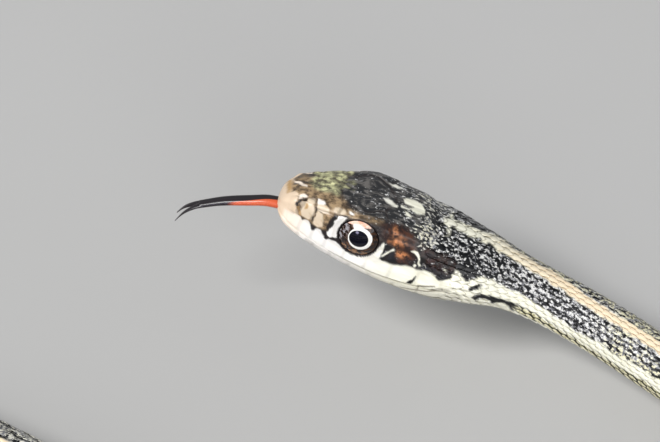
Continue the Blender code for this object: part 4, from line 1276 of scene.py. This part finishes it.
def lathe_eye(side, material, name, node):
    """Closed eye: a shallow clear-looking dome in front and a deeper round back."""
    centre, axis, tailward, upward = eye_frame(side)
    base = math.sqrt(EYE_CURVE ** 2 - EYE_RADIUS ** 2)
    front = np.linspace(0, EYE_RADIUS, EYE_RINGS + 1)[1:]
    back = np.linspace(0, np.pi / 2, EYE_BACK_RINGS + 2)[1:-1]
    reach = np.concatenate([front, EYE_RADIUS * np.cos(back)])[:, None]
    height = np.concatenate([np.sqrt(EYE_CURVE ** 2 - front ** 2) - base, -EYE_BACK * np.sin(back)])
    turns = np.linspace(0, 2 * np.pi, EYE_TURNS, endpoint=False)
    flat = np.stack([reach * np.cos(turns), reach * np.sin(turns), height[:, None] + 0 * turns], -1)
    flat = np.concatenate([flat.reshape(-1, 3), [(0, 0, EYE_CURVE - base), (0, 0, -EYE_BACK)]])
    ring = np.arange(EYE_TURNS)
    top = len(reach) * EYE_TURNS
    faces = [ring_faces(0, EYE_TURNS, len(reach)), fan(top, ring), fan(top + 1, top - 1 - ring)]
    if side < 0:
        faces = [group[:, ::-1] for group in faces]
    mesh = new_mesh(name, centre + flat @ np.stack([tailward, upward, axis]), faces)
    add_vectors(mesh, "eye_at", flat)
    spot = flat[np.concatenate([group.ravel() for group in faces])]
    place = spot[:, :2] / EYE_RADIUS
    front = EYE_MAP_FRONT[0] + place * EYE_MAP_FRONT[1]
    back = EYE_MAP_BACK[0] + place * EYE_MAP_BACK[1]
    add_map(mesh, np.where(spot[:, 2:] >= -TINY, front, back))
    return new_piece(name, mesh, material, (node,))


def tongue_ring(route, sides, halves, t):
    """One ring of the tongue or of a tine, at t along its route, with its place and upper side."""
    lines = (*zip(*route), sides, halves)
    x, z, side, half = (read_line(list(enumerate(values)), t) for values in lines)
    angles = np.linspace(0, 2 * np.pi, TONGUE_TURNS, endpoint=False)
    groove = TONGUE_GROOVE * np.exp(-(np.cos(angles) / TONGUE_GROOVE_WIDTH) ** 2)
    height = half * TONGUE_FLATNESS * (np.sin(angles) - groove * (np.sin(angles) > 0))
    points = [head_point(x, side + half * math.cos(a), z + h) for a, h in zip(angles, height)]
    return points, np.full(TONGUE_TURNS, x), np.sin(angles - math.radians(TONGUE_ROLL))


def make_tongue(material):
    """Tongue with a shallow groove along its top, and two tines whose roots are sunk in it."""
    parts = [(TONGUE_ROUTE, np.zeros(len(TONGUE_ROUTE)), TONGUE_HALF)]
    parts += [(TINE_ROUTE, np.array(TINE_SIDE) * side, TINE_HALF) for side in (1, -1)]
    rings, faces = [], []
    for route, sides, halves in parts:
        offset = len(rings) * TONGUE_TURNS
        for t in np.linspace(0, len(route) - 1, TONGUE_STEPS):
            rings.append(tongue_ring(route, sides, halves, t))
        faces.append(ring_faces(offset, TONGUE_TURNS, TONGUE_STEPS))
        first = offset + np.arange(TONGUE_TURNS)
        last = first + TONGUE_TURNS * (TONGUE_STEPS - 1)
        faces.append(np.stack([first, last[::-1]]))
    points, reach, above = (np.concatenate(values) for values in zip(*rings))
    mesh = new_mesh("forked_tongue", points, faces)
    add_numbers(mesh, "reach", reach)
    add_numbers(mesh, "above", above)
    return new_piece("forked_tongue", mesh, material, ("tongue",))


class Value:
    """Output of a node, which sums and products take as they take a number."""

    def __init__(self, board, socket):
        self.board = board
        self.socket = socket

    def maths(self, operation, other=0.0):
        return self.board.node("ShaderNodeMath", 0, {0: self, 1: other}, operation=operation)

    def __add__(self, other):
        return self.maths("ADD", other)

    def __sub__(self, other):
        return self.maths("SUBTRACT", other)

    def __mul__(self, other):
        return self.maths("MULTIPLY", other)

    def __truediv__(self, other):
        return self.maths("DIVIDE", other)

    def step(self, low, high):
        """0 at low, 1 at high, and an eased step between them."""
        return self.board.node("ShaderNodeMapRange", "Result",
                               {"Value": self, "From Min": low, "From Max": high},
                               interpolation_type="SMOOTHSTEP")

    def mix(self, first, second):
        """First colour where this is 0, and second where it is 1."""
        return self.board.node("ShaderNodeMix", 2, {0: self, 6: first, 7: second}, data_type="RGBA")


class Board:
    """Short ways to lay out the nodes of one material."""

    def __init__(self, name):
        self.material = bpy.data.materials.new(name)
        self.material.use_nodes = True
        self.tree = self.material.node_tree

    def put(self, socket, value):
        if isinstance(value, Value):
            self.tree.links.new(value.socket, socket)
        elif isinstance(value, tuple) and len(value) < len(socket.default_value):
            socket.default_value = (*value, 1.0)
        else:
            socket.default_value = value

    def node(self, kind, output, inputs, **settings):
        """One output of a new node with the given settings and inputs."""
        node = self.tree.nodes.new(kind)
        for name, setting in settings.items():
            setattr(node, name, setting)
        for place, value in inputs.items():
            self.put(node.inputs[place], value)
        return Value(self, node.outputs[output])

    def read(self, name, kind="Fac"):
        return self.node("ShaderNodeAttribute", kind, {}, attribute_name=name)

    def noise(self, where, scale, detail=2.0, roughness=0.5, stretch=None):
        if stretch:
            where = self.node("ShaderNodeVectorMath", 0, {0: where, 1: stretch}, operation="MULTIPLY")
        return self.node("ShaderNodeTexNoise", "Fac", {"Vector": where, "Scale": scale, "Detail": detail,
                                                       "Roughness": roughness})

    def finish(self, inputs):
        for name, value in inputs.items():
            self.put(self.tree.nodes["Principled BSDF"].inputs[name], value)
        return self.material


# Colours, as linear red, green and blue
BLACK = (0.006, 0.006, 0.007)
ASH = (0.19, 0.19, 0.20)
CHALK = (0.70, 0.69, 0.66)
BUFF = (0.74, 0.70, 0.48)
WHITE = (0.855, 0.825, 0.77)
LIP_BEIGE = (0.86, 0.74, 0.61)
CREAM = (0.90, 0.88, 0.73)
CREAM_SHADE = (0.74, 0.71, 0.55)
PEACH = (0.90, 0.72, 0.49)
BEIGE = (0.68, 0.56, 0.41)
PALE_BEIGE = (0.73, 0.57, 0.41)
DULL_BEIGE = (0.60, 0.47, 0.31)
TAN = (0.44, 0.27, 0.11)
SNOUT_DARK = (0.085, 0.055, 0.03)
SNOUT_LIGHT = (0.42, 0.29, 0.16)
MOSS_DARK = (0.13, 0.115, 0.07)
MOSS = (0.32, 0.31, 0.18)
MOSS_LIGHT = (0.80, 0.79, 0.43)
CROWN_GREY = (0.020, 0.020, 0.021)
CROWN_STREAK = (0.14, 0.13, 0.12)
# Orange of the temple's lighter marks, partly the skin's own and partly painted highlight
RUST = (0.62, 0.25, 0.10)
UMBER = (0.020, 0.010, 0.008)
MAROON = (0.075, 0.027, 0.014)
BAND_EDGE = (0.028, 0.024, 0.010)
BAND_OLIVE = (0.38, 0.35, 0.17)
# Brown painted shade in the folds, along the mouth and under the lower lip
PAINTED_FOLD_SHADE = (0.16, 0.14, 0.10)
IRIS_DARK = (0.010, 0.005, 0.004)
IRIS_BROWN = (0.10, 0.045, 0.02)
IRIS_COLD = (0.42, 0.43, 0.47)
IRIS_WARM = (0.30, 0.15, 0.07)
# Pale painted reflection on the upper left of the iris
IRIS_PAINTED_REFLECTION = (0.84, 0.80, 0.80)
SALMON = (0.80, 0.42, 0.29)
SALMON_LIGHT = (0.88, 0.66, 0.54)
RING_WHITE = (0.90, 0.88, 0.82)
PUPIL = (0.003, 0.003, 0.008)
EYE_EDGE = (0.006, 0.004, 0.003)
TONGUE_RED = (0.70, 0.14, 0.045)
TONGUE_DEEP = (0.52, 0.07, 0.03)
TONGUE_BLACK = (0.012, 0.008, 0.010)
FLOOR_GREY = (0.43, 0.425, 0.415)
FLOOR_LIGHT = (0.46, 0.455, 0.445)
# Roughness of the skin, and how much rougher its pale areas and grooves are, and its fine bumps
SKIN_ROUGHNESS = 0.36
PALE_ROUGHNESS = 0.12
GROOVE_ROUGHNESS = 0.35
BUMP_STRENGTH = 0.2
BUMP_HEIGHT = 0.05 * MM


def scale_middle(board, chart):
    """1 on the middle of the part of each scale that shows, and 0 at its edge and on the skin."""
    past = (board.read("along") - 0.66) / 0.36
    beside = board.read("across") / 0.86
    away = past * past + beside * beside + board.noise(chart, 2.2, 1.0) * 1.2
    return away.step(1.7, 1.05)


def coat_grains(board, chart):
    """Noises that the parts of the skin's colour share."""
    return {"mottle": board.noise(chart, 0.9), "fine": board.noise(chart, 2.4, 3.0, 0.6),
            "cloud": board.noise(chart, 1.5, 4.0, 0.62, (1.0, 1.4, 1.4)),
            "dots": board.noise(chart, 4.2, 2.0, 0.6), "middle": scale_middle(board, chart)}


def dark_ground(board, chart, grains):
    """Black ground with grey and chalky flecks, denser where fleck is higher and on scale middles,
    where the grey is partly painted sheen.
    """
    small = board.noise(chart, 3.7, 2.0, 0.55, (0.8, 1.2, 1.2))
    # The middles of the scales take more grey flecks: partly painted sheen
    level = small + board.read("rows") * (grains["middle"] * 0.11) + board.read("tone") * 0.04
    level = level + board.read("fleck") * 0.15 + grains["mottle"] * 0.12
    chalk = (board.read("buff") * grains["mottle"].step(0.35, 0.5)).mix(CHALK, BUFF)
    light = grains["dots"].step(0.42, 0.56).mix(ASH, chalk)
    streaks = board.noise(chart, 1.5, 3.0, 0.6, (0.7, 1.8, 1.8))
    grey = streaks.step(0.46, 0.64).mix(CROWN_GREY, CROWN_STREAK)
    return level.step(0.75, 0.81).mix(board.read("crown").mix(BLACK, grey), light)


def coloured_ground(board, chart, grains):
    """Dark ground with the brown snout, the olive patch, the brown temple and the olive band."""
    cloud, fine, dots = grains["cloud"], grains["fine"], grains["dots"]
    ground = dark_ground(board, chart, grains)
    snout = cloud.step(0.36, 0.62).mix(SNOUT_DARK, SNOUT_LIGHT)
    ground = (board.read("snout") * 0.92).mix(ground, snout)
    moss = cloud.step(0.42, 0.7).mix(fine.step(0.38, 0.6).mix(MOSS_DARK, MOSS), MOSS_LIGHT)
    ground = (board.read("olive") * cloud.step(0.3, 0.42)).mix(ground, moss)
    brown = fine.step(0.42, 0.66).mix(UMBER, MAROON)
    # Orange marks of the temple, partly painted highlight
    brown = (board.read("rust_and_highlight") * fine.step(0.32, 0.58)).mix(brown, RUST)
    ground = board.read("brown").mix(ground, brown)
    band = dots.step(0.35, 0.55).mix(BAND_OLIVE, BUFF)
    band = (grains["middle"] + dots * 0.8).step(0.6, 1.0).mix(BAND_EDGE, band)
    return board.read("band").mix(ground, band)


def pale_colour(board, chart, along):
    """Cream, whiter on the lips, beige at the snout and peach on the back, with brown painted shade in
    folds.
    """
    streak = board.noise(chart, 1.5, 2.0, 0.5, (0.35, 1.6, 1.6))
    cream = streak.step(0.4, 0.85).mix(CREAM, CREAM_SHADE)
    cream = along.step(11.0, 6.0).mix(cream, WHITE)
    cream = along.step(3.6, 1.0).mix(cream, LIP_BEIGE)
    cream = (board.read("warm") * 0.85).mix(cream, PEACH)
    # Painted shade in the folds, along the mouth and under the lower lip
    return board.read("fold_shade").mix(cream, PAINTED_FOLD_SHADE)


def coat_material():
    """Skin and scales: dark ground with grey on the scales, partly painted sheen, and chalky flecks,
    under the pale markings.
    """
    board = Board("snake_skin")
    chart = board.read("chart", "Vector")
    along = board.node("ShaderNodeSeparateXYZ", 0, {0: chart})
    grains = coat_grains(board, chart)
    pale = board.read("pale")
    groove = board.read("groove")
    colour = pale.mix(coloured_ground(board, chart, grains), pale_colour(board, chart, along))
    beige = grains["cloud"].step(0.5, 0.3).mix(BEIGE, DULL_BEIGE)
    beige = along.step(1.9, 1.4).mix(beige, PALE_BEIGE)
    colour = board.read("beige").mix(colour, beige)
    colour = (board.read("tan") * grains["fine"].step(0.12, 0.42)).mix(colour, TAN)
    colour = board.read("black").mix(colour, BLACK)
    seam = groove * pale.step(1.8, -0.2) * along.step(0.9, 1.3)
    colour = (seam * 0.45).mix(colour, UMBER)
    bumps = board.noise(chart, 6.0, stretch=(1.0, 2.0, 2.0))
    bumps = board.node("ShaderNodeBump", 0, {"Height": bumps, "Strength": BUMP_STRENGTH,
                                             "Distance": BUMP_HEIGHT})
    roughness = pale * PALE_ROUGHNESS + SKIN_ROUGHNESS + groove * GROOVE_ROUGHNESS
    return board.finish({"Base Color": colour, "Roughness": roughness,
                         "Specular IOR Level": 0.38, "Coat Weight": 0.08, "Coat Roughness": 0.25,
                         "Normal": bumps})


def eye_material():
    """Round black pupil in a white ring, under a salmon crescent and a painted reflection, in a dark
    brown flecked iris.
    """
    board = Board("snake_eye")
    at = board.read("eye_at", "Vector")
    x, y = (board.node("ShaderNodeSeparateXYZ", k, {0: at}) for k in (0, 1))

    def reach(middle, radii):
        """1 on an ellipse, less inside it and more outside it."""
        across = (x - middle[0]) / radii[0]
        above = (y - middle[1]) / radii[1]
        return (across * across + above * above).maths("SQRT")

    flecks = board.noise(at, 3.0, 3.0, 0.65)
    cloud = board.noise(at, 1.3)
    iris = flecks.step(0.42, 0.66).mix(IRIS_DARK, IRIS_BROWN)
    cold = x.step(-0.75, -1.15) * flecks.step(0.5, 0.6)
    iris = (cold * 0.6).mix(iris, IRIS_COLD)
    iris = (y.step(-0.8, -1.15) * flecks.step(0.45, 0.6)).mix(iris, IRIS_WARM)
    rise = y - x * 0.24 + cloud * 0.2
    top = reach((-0.08, 0.02), (1.5, 1.6)).step(1.0, 0.96) * rise.step(1.28, 1.38)
    iris = top.mix(iris, flecks.step(0.4, 0.62).mix(SALMON, SALMON_LIGHT))
    # Pale patch at the upper left of the iris: a painted reflection
    painted_reflection = (reach((-0.3, 1.02), (0.62, 0.34)) + flecks).step(1.5, 1.2)
    iris = painted_reflection.mix(iris, IRIS_PAINTED_REFLECTION)
    ring = (reach(RING_CENTRE, RING_RADII) + flecks * 0.1).step(1.08, 1.02)
    iris = ring.mix(iris, RING_WHITE)
    iris = reach(PUPIL_CENTRE, PUPIL_RADII).step(1.03, 0.98).mix(iris, PUPIL)
    whole = reach((0.0, 0.0), (EYE_RADIUS, EYE_RADIUS)) + cloud * 0.03
    colour = whole.step(0.96, 1.0).mix(iris, EYE_EDGE)
    return board.finish({"Base Color": colour, "Roughness": 0.04, "Specular IOR Level": 0.35})


def tongue_material():
    """Orange-red near the mouth with a black upper edge, and black to its tips."""
    board = Board("snake_tongue")
    reach = board.read("reach")
    level = board.read("above") - reach * 0.22
    dark = level.step(0.38, 0.55).maths("MAXIMUM", reach.step(-2.9, -3.7))
    colour = dark.mix(board.noise(reach, 6.0).mix(TONGUE_RED, TONGUE_DEEP), TONGUE_BLACK)
    return board.finish({"Base Color": colour, "Roughness": 0.34, "Specular IOR Level": 0.45,
                         "Coat Weight": 0.2, "Coat Roughness": 0.15})


def floor_material():
    board = Board("studio_floor")
    colour = board.noise(board.read("position", "Vector"), 30.0).mix(FLOOR_GREY, FLOOR_LIGHT)
    return board.finish({"Base Color": colour, "Roughness": 0.8, "Specular IOR Level": 0.2})


def make_floor():
    square = np.array([(-1, -1, 0), (1, -1, 0), (1, 1, 0), (-1, 1, 0)])
    corners = square * FLOOR_HALF - (0, 0, FLOOR_DROP)
    mesh = new_mesh("floor", corners, [np.arange(4)[None]], [False])
    mesh.materials.append(floor_material())
    new_object("floor", mesh)


def view_directions():
    """Rightward, upward and backward directions of the camera."""
    angle = math.radians(ELEVATION)
    return (Vector((1, 0, 0)), Vector((0, math.sin(angle), math.cos(angle))),
            Vector((0, -math.cos(angle), math.sin(angle))))


def make_camera():
    """Camera that puts the snout at its pixel in the photograph's frame."""
    right, up, back = view_directions()
    scale = MM / PIXELS_PER_MM
    snout = Vector(placed(surface(*SNOUT_PLACE)))
    centre = snout + right * (PHOTO[0] / 2 - SNOUT_PIXEL[0]) * scale
    centre = centre - up * (PHOTO[1] / 2 - SNOUT_PIXEL[1]) * scale
    data = bpy.data.cameras.new("camera")
    data.sensor_width = SENSOR
    data.lens = SENSOR * CAMERA_DISTANCE / (PHOTO[0] * scale)
    data.clip_start = NEAREST_VIEW
    camera = new_object("camera", data)
    turn = Matrix((right, up, back)).transposed().to_4x4()
    camera.matrix_world = Matrix.Translation(centre + back * CAMERA_DISTANCE) @ turn
    bpy.context.scene.camera = camera


def make_light(name, place, size, power, target=(0.0, 0.0, 0.0)):
    data = bpy.data.lights.new(name, "AREA")
    data.shape = "DISK"
    data.size = size
    data.energy = power
    light = new_object(name, data)
    light.location = place
    light.rotation_euler = (Vector(target) - light.location).to_track_quat("-Z", "Y").to_euler()
    return data


def make_glint():
    """Small light that the left eye mirrors to the camera, as in the photograph."""
    eye, axis, tailward, upward = eye_frame(1)
    spot = unit(axis * EYE_CURVE + tailward * GLINT[0] + upward * GLINT[1])
    back = np.array(view_directions()[2])
    mirrored = spot * 2 * np.dot(spot, back) - back
    place = placed(eye + mirrored * GLINT_DISTANCE)
    light = make_light("glint", place, GLINT_SIZE, GLINT_POWER, placed(eye))
    light.color = GLINT_COLOUR
    light.spread = math.radians(GLINT_SPREAD)


def make_lights():
    """Large soft key from above on the left, a weaker fill, the eye's glint and an even pale world."""
    for light in LIGHTS:
        make_light(*light)
    make_glint()
    world = bpy.data.worlds.new("studio")
    world.use_nodes = True
    background = world.node_tree.nodes["Background"]
    background.inputs[0].default_value = WORLD_COLOUR
    background.inputs[1].default_value = WORLD_POWER
    bpy.context.scene.world = world
    bpy.context.scene.view_settings.view_transform = "Standard"


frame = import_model()
low_corner, high_corner = (np.array(corner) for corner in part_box("eye_left"))
eye_back, eye_side, eye_up = EYE_PLACE
SHIFT = (low_corner + high_corner) / 2 - head_point(eye_back, eye_side, eye_up) * MM
flesh = [name for name in frame["nodes"] if not name.startswith("eye") and name != "tongue"]
skin_finish = coat_material()
make_skin(skin_finish, flesh)
make_coat(skin_finish)
eye_finish = eye_material()
lathe_eye(1, eye_finish, "left_eye", "eye_left")
lathe_eye(-1, eye_finish, "right_eye", "eye_right")
make_tongue(tongue_material())
make_floor()
make_lights()
make_camera()
